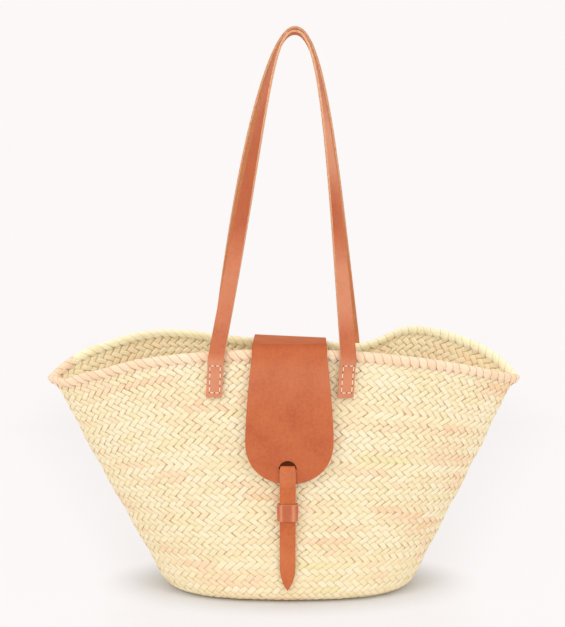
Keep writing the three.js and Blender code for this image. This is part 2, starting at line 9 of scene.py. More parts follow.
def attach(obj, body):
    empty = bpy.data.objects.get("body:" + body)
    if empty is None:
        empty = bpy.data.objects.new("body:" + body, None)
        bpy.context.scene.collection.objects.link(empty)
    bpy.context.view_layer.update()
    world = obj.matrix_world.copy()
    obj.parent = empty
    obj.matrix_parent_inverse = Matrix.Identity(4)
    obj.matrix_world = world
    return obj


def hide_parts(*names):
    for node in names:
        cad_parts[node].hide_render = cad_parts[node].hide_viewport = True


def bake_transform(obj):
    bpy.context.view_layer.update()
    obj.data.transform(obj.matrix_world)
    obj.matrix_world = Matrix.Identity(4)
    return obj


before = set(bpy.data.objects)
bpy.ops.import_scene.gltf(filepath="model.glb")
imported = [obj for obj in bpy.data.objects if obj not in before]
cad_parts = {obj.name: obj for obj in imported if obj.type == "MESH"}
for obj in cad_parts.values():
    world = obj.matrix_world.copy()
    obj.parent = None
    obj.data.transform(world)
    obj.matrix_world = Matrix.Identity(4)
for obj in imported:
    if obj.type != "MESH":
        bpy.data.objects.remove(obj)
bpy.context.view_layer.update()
mm = 0.001
fullTurn, quarterTurn = 2 * math.pi, math.pi / 2
black, white = (0, 0, 0, 1), (1, 1, 1, 1)
print("frame loaded:", len(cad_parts), "nodes")


def newObject(name, data, materials=()):
    made = bpy.data.objects.new(name, data)
    for material in materials:
        data.materials.append(material)
    bpy.context.scene.collection.objects.link(made)
    return made


# Camera first: the photograph's place, height and slight downward tilt
cameraSetup = {"place": (-0.0075, -1.3, 0.421), "pitch": 4.11, "lens": 69.2, "sensor": 36}
lens = bpy.data.cameras.new("camera")
lens.lens, lens.sensor_width, lens.sensor_fit = cameraSetup["lens"], cameraSetup["sensor"], "HORIZONTAL"
camera = newObject("camera", lens)
camera.location = cameraSetup["place"]
camera.rotation_euler = (math.radians(90 - cameraSetup["pitch"]), 0, 0)
bpy.context.scene.camera = camera
bpy.context.scene.view_settings.view_transform = "Standard"
print("camera placed")

# The wall surface, in millimetres: angles run round the basket, run climbs the wall from the floor
wall = {
    "floorLength": 146.5, "floorDepth": 83, "mouthLength": 278, "mouthDepth": 92,
    "floorSquareness": 0.25, "mouthPinch": 0.45, "belly": 5, "mouthShift": -6,
    "cornerReach": 20, "cornerRise": 14, "thickness": 4, "courses": 5,
    "endEdge": 246, "frontEdge": 285.5, "backEdge": 279.5,
    "frontFullness": 2, "backFullnessLeft": 10, "backFullnessRight": 12,
    "endHollow": 3.5, "hollowPower": 8,
}
# Waves of the mouth's edge, in front (-1) and at the back (1)
edgeWaves = [dict(zip(("side", "place", "left", "right", "rise", "lean"), wave)) for wave in (
    (-1, -0.95, 0.07, 0.07, -54, 0),
    (-1, -0.82, 0.13, 0.13, -15, 0),
    (1, -0.55, 0.24, 0.3, 15, 4),
    (1, 0.34, 0.16, 0.1, -5, 0),
    (1, 0.59, 0.15, 0.28, 18, 22),
)]
cornerRun = math.hypot(wall["cornerReach"], wall["cornerRise"])
wallRun = cornerRun + math.hypot(
    wall["frontEdge"] - wall["cornerRise"], wall["mouthDepth"] - wall["floorDepth"])
courseRun = wallRun / wall["courses"]


def mix(a, b, share):
    return a + (b - a) * share


def smooth(low, high, value):
    share = np.clip((value - low) / (high - low), 0, 1)
    return share * share * (3 - 2 * share)


def vectors(x, y, z):
    return np.stack(np.broadcast_arrays(x, y, z), axis=-1).astype(float)


def unit(v):
    return v / np.linalg.norm(v, axis=-1, keepdims=True)


def ovalPoint(around, length, depth, pinch):
    along = np.cos(around)
    return length * along, depth * np.sin(around) * (1 - pinch * along ** 2)


def ovalNormal(around, length, depth, pinch):
    along, across = np.cos(around), np.sin(around)
    dx = -length * across
    dy = depth * along * (1 - pinch * along ** 2 + 2 * pinch * across ** 2)
    size = np.hypot(dx, dy)
    return dy / size, -dx / size


def edgeWave(around, part):
    total = np.zeros_like(around)
    for wave in edgeWaves:
        offset = np.cos(around) - wave["place"]
        distance = offset / np.where(offset < 0, wave["left"], wave["right"])
        total += (np.sin(around) * wave["side"] > 0) * wave[part] * np.exp(-(distance ** 2))
    return total


def edgeFullness(around):
    along = np.cos(around)
    backPower = np.where(along < 0, wall["backFullnessLeft"], wall["backFullnessRight"])
    return 1 - np.abs(along) ** np.where(np.sin(around) < 0, wall["frontFullness"], backPower)


def edgeHeight(around):
    middle = np.where(np.sin(around) < 0, wall["frontEdge"], wall["backEdge"])
    return wall["endEdge"] + edgeFullness(around) * (middle - wall["endEdge"] + edgeWave(around, "rise"))


def wallLength(climb):
    hollow = wall["endHollow"] * np.sin(np.pi * np.clip(climb, 0, 1) ** wall["hollowPower"])
    return mix(wall["floorLength"], wall["mouthLength"], climb) - hollow


def wallLine(around, climb):
    depth = mix(wall["floorDepth"], wall["mouthDepth"], climb) + wall["belly"] * np.sin(np.pi * climb)
    pinch = mix(-wall["floorSquareness"], wall["mouthPinch"], climb)
    x, y = ovalPoint(around, wallLength(climb), depth, pinch)
    lean = edgeWave(around, "lean") * edgeFullness(around) * climb ** 2
    return vectors(x + wall["mouthShift"] * climb, y + lean, edgeHeight(around) * climb)


def wallPoint(around, run):
    around, run = np.broadcast_arrays(np.asarray(around, float), np.asarray(run, float))
    cornerClimb = wall["cornerRise"] / edgeHeight(around)
    straight = wallLine(around, mix(cornerClimb, 1, (run - cornerRun) / (wallRun - cornerRun)))
    nx, ny = ovalNormal(around, wall["floorLength"], wall["floorDepth"], -wall["floorSquareness"])
    knee = wallLine(around, 0 * around)
    inner = knee - wall["cornerReach"] * vectors(nx, ny, 0)
    share = (np.clip(run, 0, cornerRun) / cornerRun)[..., None]
    curved = (1 - share) ** 2 * inner + 2 * share * (1 - share) * knee
    curved = curved + share ** 2 * wallLine(around, cornerClimb)
    return np.where((run >= cornerRun)[..., None], straight, curved)


def alongWall(around, run, step=1e-3):
    return wallPoint(around + step, run) - wallPoint(around - step, run)


def wallNormal(around, run, rise=0.5):
    low = np.maximum(run - rise, 0)
    upWall = wallPoint(around, low + 2 * rise) - wallPoint(around, low)
    return unit(np.cross(alongWall(around, run), upWall))


# Where the wall has a given x and height, on its front (-1) or back (1)
def wallAt(side, x, height, passes=12):
    climb = height / wall["frontEdge"]
    for _ in range(passes):
        around = side * np.arccos((x - wall["mouthShift"] * climb) / wallLength(climb))
        climb = height / edgeHeight(around)
    cornerClimb = wall["cornerRise"] / edgeHeight(around)
    share = np.maximum(0, (climb - cornerClimb) / (1 - cornerClimb))
    return around, mix(cornerRun, wallRun, share), wallLine(around, climb)


def lengthsAlong(path):
    return np.concatenate([[0], np.cumsum(np.linalg.norm(np.diff(path, axis=0), axis=1))])


# Angles round a closed line of the basket, and the length reached at each
def roundTable(point, steps=1440):
    angles = np.linspace(0, fullTurn, steps + 1)
    return angles, lengthsAlong(point(angles))


def angleAt(table, length):
    angles, lengths = table
    return np.interp(np.mod(length, lengths[-1]), lengths, angles)


# Colours are written as they look on a screen
def linear(*color):
    shares = [level / 255 for level in color]
    return (*(c / 12.92 if c <= 0.04045 else ((c + 0.055) / 1.055) ** 2.4 for c in shares), 1)


def palette(**colors):
    return {name: linear(*color) for name, color in colors.items()}


class Signal:
    # wraps a socket, so that shader maths reads as an expression
    def __init__(self, finish, socket):
        self.finish, self.socket = finish, socket

    def output(self, name):
        return Signal(self.finish, self.socket.node.outputs[name])

    def maths(self, operation, *values):
        return self.finish.add("ShaderNodeMath", dict(enumerate(values)), operation=operation)

    def __add__(self, other):
        return self.maths("ADD", self, other)

    def __radd__(self, other):
        return self.maths("ADD", other, self)

    def __sub__(self, other):
        return self.maths("SUBTRACT", self, other)

    def __rsub__(self, other):
        return self.maths("SUBTRACT", other, self)

    def __mul__(self, other):
        return self.maths("MULTIPLY", self, other)

    def __rmul__(self, other):
        return self.maths("MULTIPLY", other, self)

    def __truediv__(self, other):
        return self.maths("DIVIDE", self, other)

    def __rtruediv__(self, other):
        return self.maths("DIVIDE", other, self)

    def __pow__(self, other):
        return self.maths("POWER", self, other)

    def __rpow__(self, other):
        return self.maths("POWER", other, self)

    def __abs__(self):
        return self.maths("ABSOLUTE", self)


class Finish:
    # the nodes of a material or a world
    def __init__(self, owner):
        owner.use_nodes = True
        self.owner, self.tree = owner, owner.node_tree
        self.tree.nodes.clear()

    def add(self, kind, inputs={}, out=0, **settings):
        node = self.tree.nodes.new(kind)
        for key, value in settings.items():
            if key == "stops":
                ramp = node.color_ramp
                while len(ramp.elements) < len(value):
                    ramp.elements.new(0.5)
                for element, (place, color) in zip(ramp.elements, value):
                    element.position, element.color = place, color
            else:
                setattr(node, key, value)
        for key, value in inputs.items():
            if isinstance(value, Signal):
                self.tree.links.new(value.socket, node.inputs[key])
            else:
                node.inputs[key].default_value = value
        return Signal(self, node.outputs[out]) if len(node.outputs) else node

    def blend(self, factor, a, b, mode="MIX"):
        return self.add("ShaderNodeMix", {0: factor, 6: a, 7: b}, 2, data_type="RGBA", blend_type=mode)

    def noise(self, vector, scale, detail=2, rough=0.5):
        inputs = {"Vector": vector, "Scale": scale, "Detail": detail, "Roughness": rough}
        return self.add("ShaderNodeTexNoise", inputs)

    def ramp(self, factor, *stops):
        return self.add("ShaderNodeValToRGB", {"Fac": factor}, stops=stops)

    def ease(self, value, low, high):
        return self.add("ShaderNodeMapRange", {0: value, 1: low, 2: high}, interpolation_type="SMOOTHSTEP")

    def bump(self, height, strength, distance):
        return self.add("ShaderNodeBump", {"Height": height, "Strength": strength, "Distance": distance})

    def surface(self, **inputs):
        named = {key.replace("_", " "): value for key, value in inputs.items()}
        self.add("ShaderNodeOutputMaterial", {"Surface": self.add("ShaderNodeBsdfPrincipled", named)})
        return self.owner


def newFinish(name):
    return Finish(bpy.data.materials.new(name))


# Noises are given as scale, detail and roughness, a bump as strength and distance
leafGrain = {
    "alongScale": 0.35, "acrossScale": 5, "toneShift": 40, "toneDepth": 90, "fibre": (2.6, 3, 0.6),
    "patch": (0.35, 1), "patchShare": 0.14, "streaks": ((0.3, (0.86, 0.82, 0.74, 1)), (0.62, white)),
    "streakShare": 0.55, "sideEdge": 0.84, "tipEdge": 0.86, "relief": (0.35, 0.0004), "sheen": 0.12,
    "gloss": 0.35,
}


# Leaf: the tone of each length comes from its own attribute, fibres run along its UV map
def leafFinish(name, stops, seam, roughness, line):
    leaf = newFinish(name)
    tone = leaf.add("ShaderNodeAttribute", out="Fac", attribute_name="tone")
    along = leaf.add("ShaderNodeSeparateXYZ", {0: leaf.add("ShaderNodeUVMap", uv_map="leaf")})
    across = along.output(1)
    seeded = leaf.add("ShaderNodeCombineXYZ", {
        0: along * leafGrain["alongScale"] + tone * leafGrain["toneShift"],
        1: across * leafGrain["acrossScale"], 2: tone * leafGrain["toneDepth"]})
    fibre, patch = (leaf.noise(seeded, *leafGrain[layer]) for layer in ("fibre", "patch"))
    share = leafGrain["patchShare"]
    color = leaf.ramp(tone * (1 - share) + patch * share, *stops)
    color = leaf.blend(leafGrain["streakShare"], color, leaf.ramp(fibre, *leafGrain["streaks"]), "MULTIPLY")
    # the sides and tips turn towards the edge colour: partly the leaf's own darker edges, partly painted
    # shade where the leaves tuck under each other and into the grooves between wraps
    for place, start in ((across, leafGrain["sideEdge"]), (along, leafGrain["tipEdge"])):
        edge = leaf.ramp(abs(place - 0.5) * 2, (start, black), (1, white))
        color = leaf.blend(edge * line, color, seam)
    return leaf.surface(Base_Color=color, Roughness=fibre * leafGrain["sheen"] + roughness,
                        Normal=leaf.bump(fibre, *leafGrain["relief"]), Specular_IOR_Level=leafGrain["gloss"])


# A finish speckled from one colour to another
def speckleFinish(name, grain, stops, roughness, gloss=0.5, relief=None):
    plain = newFinish(name)
    speckle = plain.noise(plain.add("ShaderNodeTexCoord", out="Object"), *grain)
    raised = {"Normal": plain.bump(speckle, *relief)} if relief else {}
    return plain.surface(Base_Color=plain.ramp(speckle, *stops), Roughness=roughness,
                         Specular_IOR_Level=gloss, **raised)


def evenStops(*colors):
    return [(index / (len(colors) - 1), linear(*color)) for index, color in enumerate(colors)]


leafColors = palette(
    ripe=(243, 208, 158), pink=(248, 221, 188), cream=(246, 231, 190), light=(250, 238, 206),
    green=(236, 228, 174), seam=(196, 142, 96), shade=(188, 136, 92), underside=(222, 180, 134))
plaitStops = [(place, leafColors[tone]) for place, tone in (
    (0, "ripe"), (0.22, "pink"), (0.4, "cream"), (0.62, "light"), (0.8, "cream"), (1, "green"))]
# The inside faces get a brighter copy of the leaf colours: painted light, to lift the shade inside the basket
insideLitStops = evenStops((255, 226, 176), (255, 240, 200), (255, 242, 196))
frontWrapStops = evenStops((244, 210, 174), (250, 222, 190), (251, 230, 200))
backWrapStops = evenStops((252, 236, 188), (255, 247, 210), (253, 244, 198))
plaitLeaf = leafFinish("plaitLeaf", plaitStops, leafColors["seam"], 0.5, 0.72)
lacingLeaf = leafFinish("lacingLeaf", plaitStops, leafColors["seam"], 0.6, 0.25)
insideLitLeaf = leafFinish("insideLitLeaf", insideLitStops, leafColors["seam"], 0.5, 0.5)
frontWrapLeaf = leafFinish("frontWrapLeaf", frontWrapStops, linear(186, 126, 92), 0.4, 0.75)
backWrapLeaf = leafFinish("backWrapLeaf", backWrapStops, linear(190, 140, 90), 0.42, 0.5)
leafShade = speckleFinish(
    "leafShade", (300, 2), ((0.35, leafColors["shade"]), (0.7, leafColors["underside"])), 0.9, 0.1)
print("leaf finishes made")


def meshFrom(sheet, name="", into=None):
    for face in sheet.faces:
        face.smooth = True
    mesh = into or bpy.data.meshes.new(name)
    sheet.to_mesh(mesh)
    sheet.free()
    return mesh


def coordinates(items):
    return np.array([item.co for item in items], float)


def setPlaces(mesh, placed):
    mesh.vertices.foreach_set("co", (placed * mm).ravel())


def unitGrid(columns, rows):
    sheet = bmesh.new()
    bmesh.ops.create_grid(sheet, x_segments=columns, y_segments=rows, size=0.5)
    bmesh.ops.translate(sheet, verts=sheet.verts, vec=(0.5, 0.5, 0))
    return sheet


def raiseFaces(sheet, rise):
    raised = bmesh.ops.extrude_face_region(sheet, geom=sheet.faces[:])["geom"]
    verts = [v for v in raised if isinstance(v, bmesh.types.BMVert)]
    bmesh.ops.translate(sheet, verts=verts, vec=(0, 0, rise))


# A flat slab one unit each way: x along, y across, z through it. Cut sides get material 1, the back 2.
# A closed one has no ends, because it is bent round until they meet
def slab(columns, rows, closed=False):
    sheet = unitGrid(columns, rows)
    raiseFaces(sheet, 1)
    for face in sheet.faces:
        levels = {round(v.co.z) for v in face.verts}
        face.material_index = 1 if len(levels) > 1 else 2 * (0 in levels)
    bmesh.ops.recalc_face_normals(sheet, faces=sheet.faces)
    if closed:
        sides = [f for f in sheet.faces if f.material_index == 1]
        ends = [f for f in sides if len({round(v.co.x, 5) for v in f.verts}) == 1]
        bmesh.ops.delete(sheet, geom=ends, context="FACES")
    return sheet


plait = {
    "rows": 8, "pitch": (9.5, 10, 10.15, 10.15, 10.15), "angle": 36.5, "length": 14.8, "width": 6.12,
    "phase": 0.25, "columns": 5, "cuts": 3, "sideCrowding": 0.55, "arch": 0.7, "archShare": 0.56,
    "dome": 0.3, "domePower": 3, "rest": -0.12, "sunk": 0.55, "proud": 1.05, "lowest": 0.2,
    "bandOut": -0.2, "bandColumns": 240, "seamCover": 0.25, "seamPower": 4, "seamLonger": 1.18, "lacing": 2.6,
    "lacingProud": 0.06, "crown": 0.25, "tipCrown": 1.2, "tipPower": 12, "outsideSeed": 20, "insideSeed": 40,
    "turnJitter": 2.4, "placeJitter": 0.25, "sizeJitter": 0.04, "liftJitter": 0.08, "liftLimit": 1.5,
    "tone": 0.5, "runSpread": 0.13, "runLeaves": (2, 9), "leafSpread": 0.06,
    "zoneSpread": 0.182, "zoneTurns": (2, 3, 5, 8), "rowDrift": 0.4,
}


# One visible length of leaf in the plait, closed underneath with one face
def leafLength():
    leaf = slab(plait["columns"], plait["cuts"])
    bmesh.ops.dissolve_faces(leaf, faces=[f for f in leaf.faces if f.material_index == 2])
    uv = leaf.loops.layers.uv.new("leaf")
    for face in leaf.faces:
        face.material_index = 0
        for loop in face.loops:
            loop[uv].uv = loop.vert.co.xy
    return meshFrom(leaf, "leafLength")


leafTemplate = leafLength()


# Height of a leaf's top over the wall: arched along, where it dips under its neighbours, and domed across
def leafTop(leaf, x, y):
    arch = leaf["arch"] * np.cos(np.pi * np.clip(x, -1, 1) * plait["archShare"])
    return leaf["rest"] + arch + leaf["dome"] * (1 - np.abs(y) ** plait["domePower"])


# Tone runs along a row for some lengths, as the same leaf comes back up, and drifts over wider patches
def rowTones(rng, count, row, drift):
    tones = []
    while len(tones) < count:
        level = rng.normal(plait["tone"], plait["runSpread"])
        tones += [level] * int(rng.integers(*plait["runLeaves"]))
    share = np.arange(count) / count * fullTurn
    zone = sum(np.sin(turns * share + shift + row * plait["rowDrift"]) for turns, shift in drift)
    leaf = rng.normal(0, plait["leafSpread"], count)
    return np.clip(np.array(tones[:count]) + plait["zoneSpread"] * zone / len(drift) ** 0.5 + leaf, 0, 1)


# Rows of leaf lengths laid flat as (length round, rise, height), then bent on to the basket by place()
def plaitSheet(rowPlaces, counts, rounds, place, seed, leaf=plait, lean=1, stretch=1, levels=None):
    rng = np.random.default_rng(seed)
    points = coordinates(leafTemplate.vertices)
    turns = plait["zoneTurns"]
    drift = list(zip(turns, rng.uniform(0, fullTurn, len(turns))))
    rows = []
    for row, (rise, count, around) in enumerate(zip(rowPlaces, counts, rounds)):
        way = lean if row % 2 else -lean
        spots = (np.arange(count) + leaf["phase"] * way + 0.5) * around / count
        longer = plait["seamLonger"] if row in (0, len(counts) - 1) else 1
        tones = rowTones(rng, count, row, drift) if levels is None else levels
        rows.append(np.stack(np.broadcast_arrays(way, spots, rise, longer, tones)))
    tilt, spots, rises, longer, tones = np.concatenate(rows, axis=1)[..., None]
    jitter = rng.normal(0, 1, (5, len(spots), 1))
    angle = tilt * np.radians(leaf["angle"]) + np.radians(plait["turnJitter"]) * jitter[0]
    x, y, level = points.T[:, None]
    x, y = x * 2 - 1, y * 2 - 1
    y = np.sign(y) * np.abs(y) ** plait["sideCrowding"]
    alongLeaf = x * leaf["length"] / 2 * (1 + plait["sizeJitter"] * jitter[1]) * longer
    acrossLeaf = y * leaf["width"] / 2 * (1 + plait["sizeJitter"] * jitter[2])
    length = spots + alongLeaf * np.cos(angle) - acrossLeaf * np.sin(angle)
    length = length + plait["placeJitter"] * jitter[3]
    rise = rises + (alongLeaf * np.sin(angle) + acrossLeaf * np.cos(angle)) * stretch
    lift = plait["liftJitter"] * np.clip(jitter[4], -plait["liftLimit"], plait["liftLimit"])
    height = mix(leafTop(leaf, 1, 1) - plait["sunk"] + 0 * x, leafTop(leaf, x, y) + lift, level)
    sheet = bmesh.new()
    for _ in range(len(spots)):
        sheet.from_mesh(leafTemplate)
    mesh = meshFrom(sheet, "plaitSheet")
    setPlaces(mesh, place(length.ravel(), rise.ravel(), height.ravel()))
    tone = mesh.attributes.new("tone", "FLOAT", "FACE")
    tone.data.foreach_set("value", np.repeat(tones.ravel(), len(leafTemplate.polygons)).astype(np.float32))
    return mesh


# A closed shell bent round the basket by place()
def bandSheet(columns, rows, place):
    mesh = meshFrom(slab(columns, rows, closed=True), "bandSheet")
    setPlaces(mesh, place(*coordinates(mesh.vertices).T))
    return mesh


def joinMeshes(name, parts):
    whole = bmesh.new()
    for mesh, material in parts:
        before = len(whole.faces)
        whole.from_mesh(mesh)
        whole.faces.ensure_lookup_table()
        for face in whole.faces[before:]:
            face.material_index = material
        bpy.data.meshes.remove(mesh)
    bmesh.ops.remove_doubles(whole, verts=whole.verts, dist=1e-6)
    return meshFrom(whole, name)


# What lies proud of the underside is lifted, so that the basket stands on the table and not in it
def onWall(around, run, out):
    normal = wallNormal(around, run)
    point = wallPoint(around, run) + normal * out[..., None]
    point[..., 2] += np.maximum(0, -normal[..., 2]) * plait["proud"] * (out > -wall["thickness"] / 2)
    return point


def courseTable(index):
    table = roundTable(lambda angles: wallPoint(angles, (index + 0.5) * courseRun))
    return table, int(round(table[1][-1] / plait["pitch"][index]))


def wallCourse(index):
    low, rows = index * courseRun, plait["rows"]
    table, count = courseTable(index)
    around, rowHeight = table[1][-1], courseRun / rows
    stretch = rowHeight / (around / count * math.tan(math.radians(plait["angle"])))
    laid = ([low + (row + 0.5) * rowHeight for row in range(rows)], [count] * rows, [around] * rows)
    lacingCover = plait["bandOut"] + plait["seamCover"] + plait["lacingProud"]

    def crowned(angles, run, out):
        share = np.clip((run - low) / courseRun, 0, 1)
        tall = plait["crown"] + plait["tipCrown"] * np.abs(np.cos(angles)) ** plait["tipPower"]
        return onWall(angles, run, out + tall * (np.sin(np.pi * share) - 0.5) * (run > cornerRun))

    # leaf lengths over one face of the wall
    def leaves(face, way):
        def place(length, run, height):
            run = np.clip(run, plait["lowest"], wallRun)
            return crowned(angleAt(table, length), run, face + way * height)
        return place

    # a layer through the wall that stands past both faces by its cover. It stops a hair short of the full
    # round, where the angle would start again
    def layer(start, width, cover):
        def place(x, y, level):
            out = mix(-wall["thickness"] - cover(y), cover(y), level)
            return crowned(angleAt(table, x * around * (1 - 1e-12)), start + y * width, out)
        return place

    def bandCover(y):
        return plait["bandOut"] + plait["seamCover"] * np.abs(2 * y - 1) ** plait["seamPower"]

    parts = [
        (plaitSheet(*laid, leaves(0, 1), plait["outsideSeed"] + index, stretch=stretch), 0),
        (plaitSheet(*laid, leaves(-wall["thickness"], -1), plait["insideSeed"] + index, lean=-1,
                    stretch=stretch), 2),
        (bandSheet(plait["bandColumns"], rows, layer(low, courseRun, bandCover)), 1),
    ]
    # leaf shows in the seams too, between the leaf lengths of two courses
    for start in (low, low + courseRun - plait["lacing"]):
        place = layer(start, plait["lacing"], lambda y: lacingCover)
        parts.append((bandSheet(plait["bandColumns"], 1, place), 3))
    name = f"wall_plait_turn_{index + 1}"
    piece = newObject(f"plait_course_{index + 1}", joinMeshes(name, parts),
                      [plaitLeaf, leafShade, insideLitLeaf, lacingLeaf])
    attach(piece, "basket")
    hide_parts(name)


for index in range(wall["courses"]):
    wallCourse(index)
print("wall courses plaited")

# Floor: rings of plait inside the corner, drawn in to a short middle line
floor = {
    "gap": 0.3, "rows": 4, "fewest": 6, "heart": 0.985, "ends": 0.004, "overSunk": 0.2,
    "bandColumns": 144, "bandLow": 1.4, "bandHigh": 3.2, "turnSeed": 61, "centreSeed": 71,
    "centreDepth": courseRun / 2,
}
floor["turnWidth"] = wall["floorDepth"] - wall["cornerReach"] - floor["centreDepth"]
floor["centreLength"] = wall["floorLength"] - wall["cornerReach"] - floor["turnWidth"]


def floorOval(angles, length, depth):
    return np.stack(ovalPoint(angles, length, depth, -wall["floorSquareness"]), axis=-1)


def turnRing(angles, share):
    normal = ovalNormal(angles, wall["floorLength"], wall["floorDepth"], -wall["floorSquareness"])
    outer = wallPoint(angles, 0 * angles)[..., :2] - floor["gap"] * np.stack(normal, axis=-1)
    return mix(outer, floorOval(angles, floor["centreLength"], floor["centreDepth"]), share[..., None])


def centreRing(angles, share):
    inset = floor["centreDepth"] * share * floor["heart"]
    return floorOval(angles, floor["centreLength"] - inset, floor["centreDepth"] - inset)


def floorPiece(name, title, ring, width, seed):
    rows, pitch = floor["rows"], plait["pitch"][0]
    middles = (np.arange(rows) + 0.5) / rows
    tables = [roundTable(lambda angles, share=share: ring(angles, share + 0 * angles)) for share in middles]
    rounds = [table[1][-1] for table in tables]
    counts = [max(floor["fewest"], int(round(around / pitch))) for around in rounds]
    stretch = width / rows / (pitch * math.tan(math.radians(plait["angle"])))
    rowOf = np.repeat(np.arange(rows), [count * len(leafTemplate.vertices) for count in counts])

    def flat(angles, share, height):
        point = ring(angles, share)
        return vectors(point[..., 0], point[..., 1], height)

    def spread(length, rise, height):
        angles = np.zeros_like(length)
        for row, table in enumerate(tables):
            angles[rowOf == row] = angleAt(table, length[rowOf == row])
        return flat(angles, np.clip(rise / width, floor["ends"], 1 - floor["ends"]), height)

    def under(length, rise, height):
        return spread(length, rise, np.maximum(plait["proud"] - height, 0))

    def over(length, rise, height):
        return spread(length, rise, wall["thickness"] + height - floor["overSunk"])

    def band(x, y, level):
        return flat(x * fullTurn, y, mix(floor["bandLow"], floor["bandHigh"], level))

    parts = [(plaitSheet(middles * width, counts, rounds, place, seed + step, stretch=stretch), 0)
             for step, place in enumerate((under, over))]
    parts.append((bandSheet(floor["bandColumns"], rows, band), 1))
    piece = newObject(title, joinMeshes(name, parts), [plaitLeaf, leafShade])
    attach(piece, "basket")
    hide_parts(name)


floorPiece("floor_plait_turn", "floor_turn", turnRing, floor["turnWidth"], floor["turnSeed"])
floorPiece("floor_plait_centre", "floor_centre", centreRing, floor["centreDepth"], floor["centreSeed"])
print("floor plaited")

# Rim: one leaf wound round the edge, each wrap domed, with a groove to the next
rim = {
    "height": 12, "thickness": 10, "seat": 3, "slant": 2, "fullness": 0.84, "sectionSteps": 26,
    "wrapSteps": (0, 0.05, 0.2, 0.5, 0.8, 0.95), "groove": 0.34, "domePower": 2.6, "proud": 0.05,
    "shingle": 0.3, "jitter": 0.1, "swell": 0.14, "tone": (0.5, 0.22), "hidden": 0.08, "pinkEnd": -262,
    "leafSide": (0.32, 0.36),
    "seed": 5,
}
# The end of each wrap, where it tucks in between the leaves of the plait
wrapEnd = {
    "angle": 46, "length": 10, "width": 6.5, "phase": -0.22, "arch": 0.55, "dome": 0.25, "rest": -0.2,
    "rise": -1, "standOff": 0.55, "blend": 6, "sinkFrom": 0.2, "sink": 0.4,
}
rollLift = rim["height"] / 2 - rim["seat"]


def rollFrame(angles):
    edge = wallPoint(angles, wallRun)
    normal = wallNormal(angles, wallRun + 0 * angles)
    up = unit(edge - wallPoint(angles, wallRun - 1))
    return edge - normal * wall["thickness"] / 2, normal, up


def wrapEnds(side, table, count, levels):
    def place(length, rise, height):
        middle, normal, up = rollFrame(angleAt(table, length))
        level = np.clip(np.abs(rise - rollLift) / (rim["height"] / 2), 0, 1) ** (1 / rim["fullness"])
        roll = rim["thickness"] / 2 * (1 - level ** 2) ** (rim["fullness"] / 2)
        plaited, power = wall["thickness"] / 2 + wrapEnd["standOff"], wrapEnd["blend"]
        out = (roll ** power + plaited ** power) ** (1 / power) + height
        out = out - wrapEnd["sink"] * np.maximum(0, rise - wrapEnd["sinkFrom"])
        return middle + normal * side * out[:, None] + up * rise[:, None]

    return plaitSheet([wrapEnd["rise"]], [count], [table[1][-1]], place, rim["seed"] + side, wrapEnd, side,
                      levels=levels)


def rimRoll():
    rng = np.random.default_rng(rim["seed"])
    table, wraps = courseTable(wall["courses"] - 1)
    pitch, steps = table[1][-1] / wraps, len(rim["wrapSteps"])
    shift, swell, tones = (rng.normal(middle, spread, wraps) for middle, spread in (
        (0, rim["jitter"]), (0, rim["swell"]), rim["tone"]))
    tones = np.clip(tones, 0, 1)
    roll = unitGrid(wraps * steps, rim["sectionSteps"])
    x, y, _ = coordinates(roll.verts).T
    column = np.round(x * wraps * steps).astype(int)
    wrap, share = column // steps, np.array(rim["wrapSteps"])[column % steps]
    # the wraps vary only where they show, so that their two ends meet under the roll
    shown = smooth(0, rim["hidden"], y) * smooth(1, 1 - rim["hidden"], y)
    start = wrap + shift[wrap % wraps] * shown
    end = wrap + 1 + shift[(wrap + 1) % wraps] * shown
    length = mix(start, end, share) * pitch - (y - 0.25) * pitch * rim["slant"]
    middle, normal, up = rollFrame(angleAt(table, length))
    dome = 1 - np.abs(2 * share - 1) ** rim["domePower"]
    swell = np.minimum(swell[wrap % wraps] * dome * shown, 0)
    proud = rim["proud"] + rim["groove"] * (dome - 1) + swell - rim["shingle"] * share * dome
    turn = y * fullTurn - quarterTurn
    sideways, upwards = (np.sign(v) * np.abs(v) ** rim["fullness"] for v in (np.cos(turn), np.sin(turn)))
    out = (rim["thickness"] / 2 + proud) * sideways
    lift = rollLift + (rim["height"] / 2 + proud) * upwards
    placed = middle + normal * out[:, None] + up * lift[:, None]
    for vert, point in zip(roll.verts, placed * mm):
        vert.co = point
    roll.verts.index_update()
    toneLayer, uv = roll.faces.layers.float.new("tone"), roll.loops.layers.uv.new("leaf")
    # the last step of a wrap ends in its groove, at share 1 of the same wrap
    levels, (sideStart, sideRun) = rim["wrapSteps"] + (1,), rim["leafSide"]
    for face in roll.faces:
        first = min(column[v.index] for v in face.verts) // steps
        face[toneLayer] = tones[first % wraps]
        for loop in face.loops:
            here = loop.vert.index
            loop[uv].uv = (sideStart + sideRun * y[here], levels[column[here] - first * steps])
    bmesh.ops.remove_doubles(roll, verts=roll.verts, dist=1e-6)
    bmesh.ops.recalc_face_normals(roll, faces=roll.faces)
    parts = [meshFrom(roll, "rimRoll")] + [wrapEnds(side, table, wraps, tones) for side in (1, -1)]
    mesh = joinMeshes("rim_wraps", [(part, 0) for part in parts])
    for face in mesh.polygons:
        face.material_index = face.center.y > 0 and face.center.x > rim["pinkEnd"] * mm
    piece = newObject("rim_wraps", mesh, [frontWrapLeaf, backWrapLeaf])
    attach(piece, "basket")
    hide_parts("rim_roll")


rimRoll()
bpy.data.meshes.remove(leafTemplate)
print("rim wound")

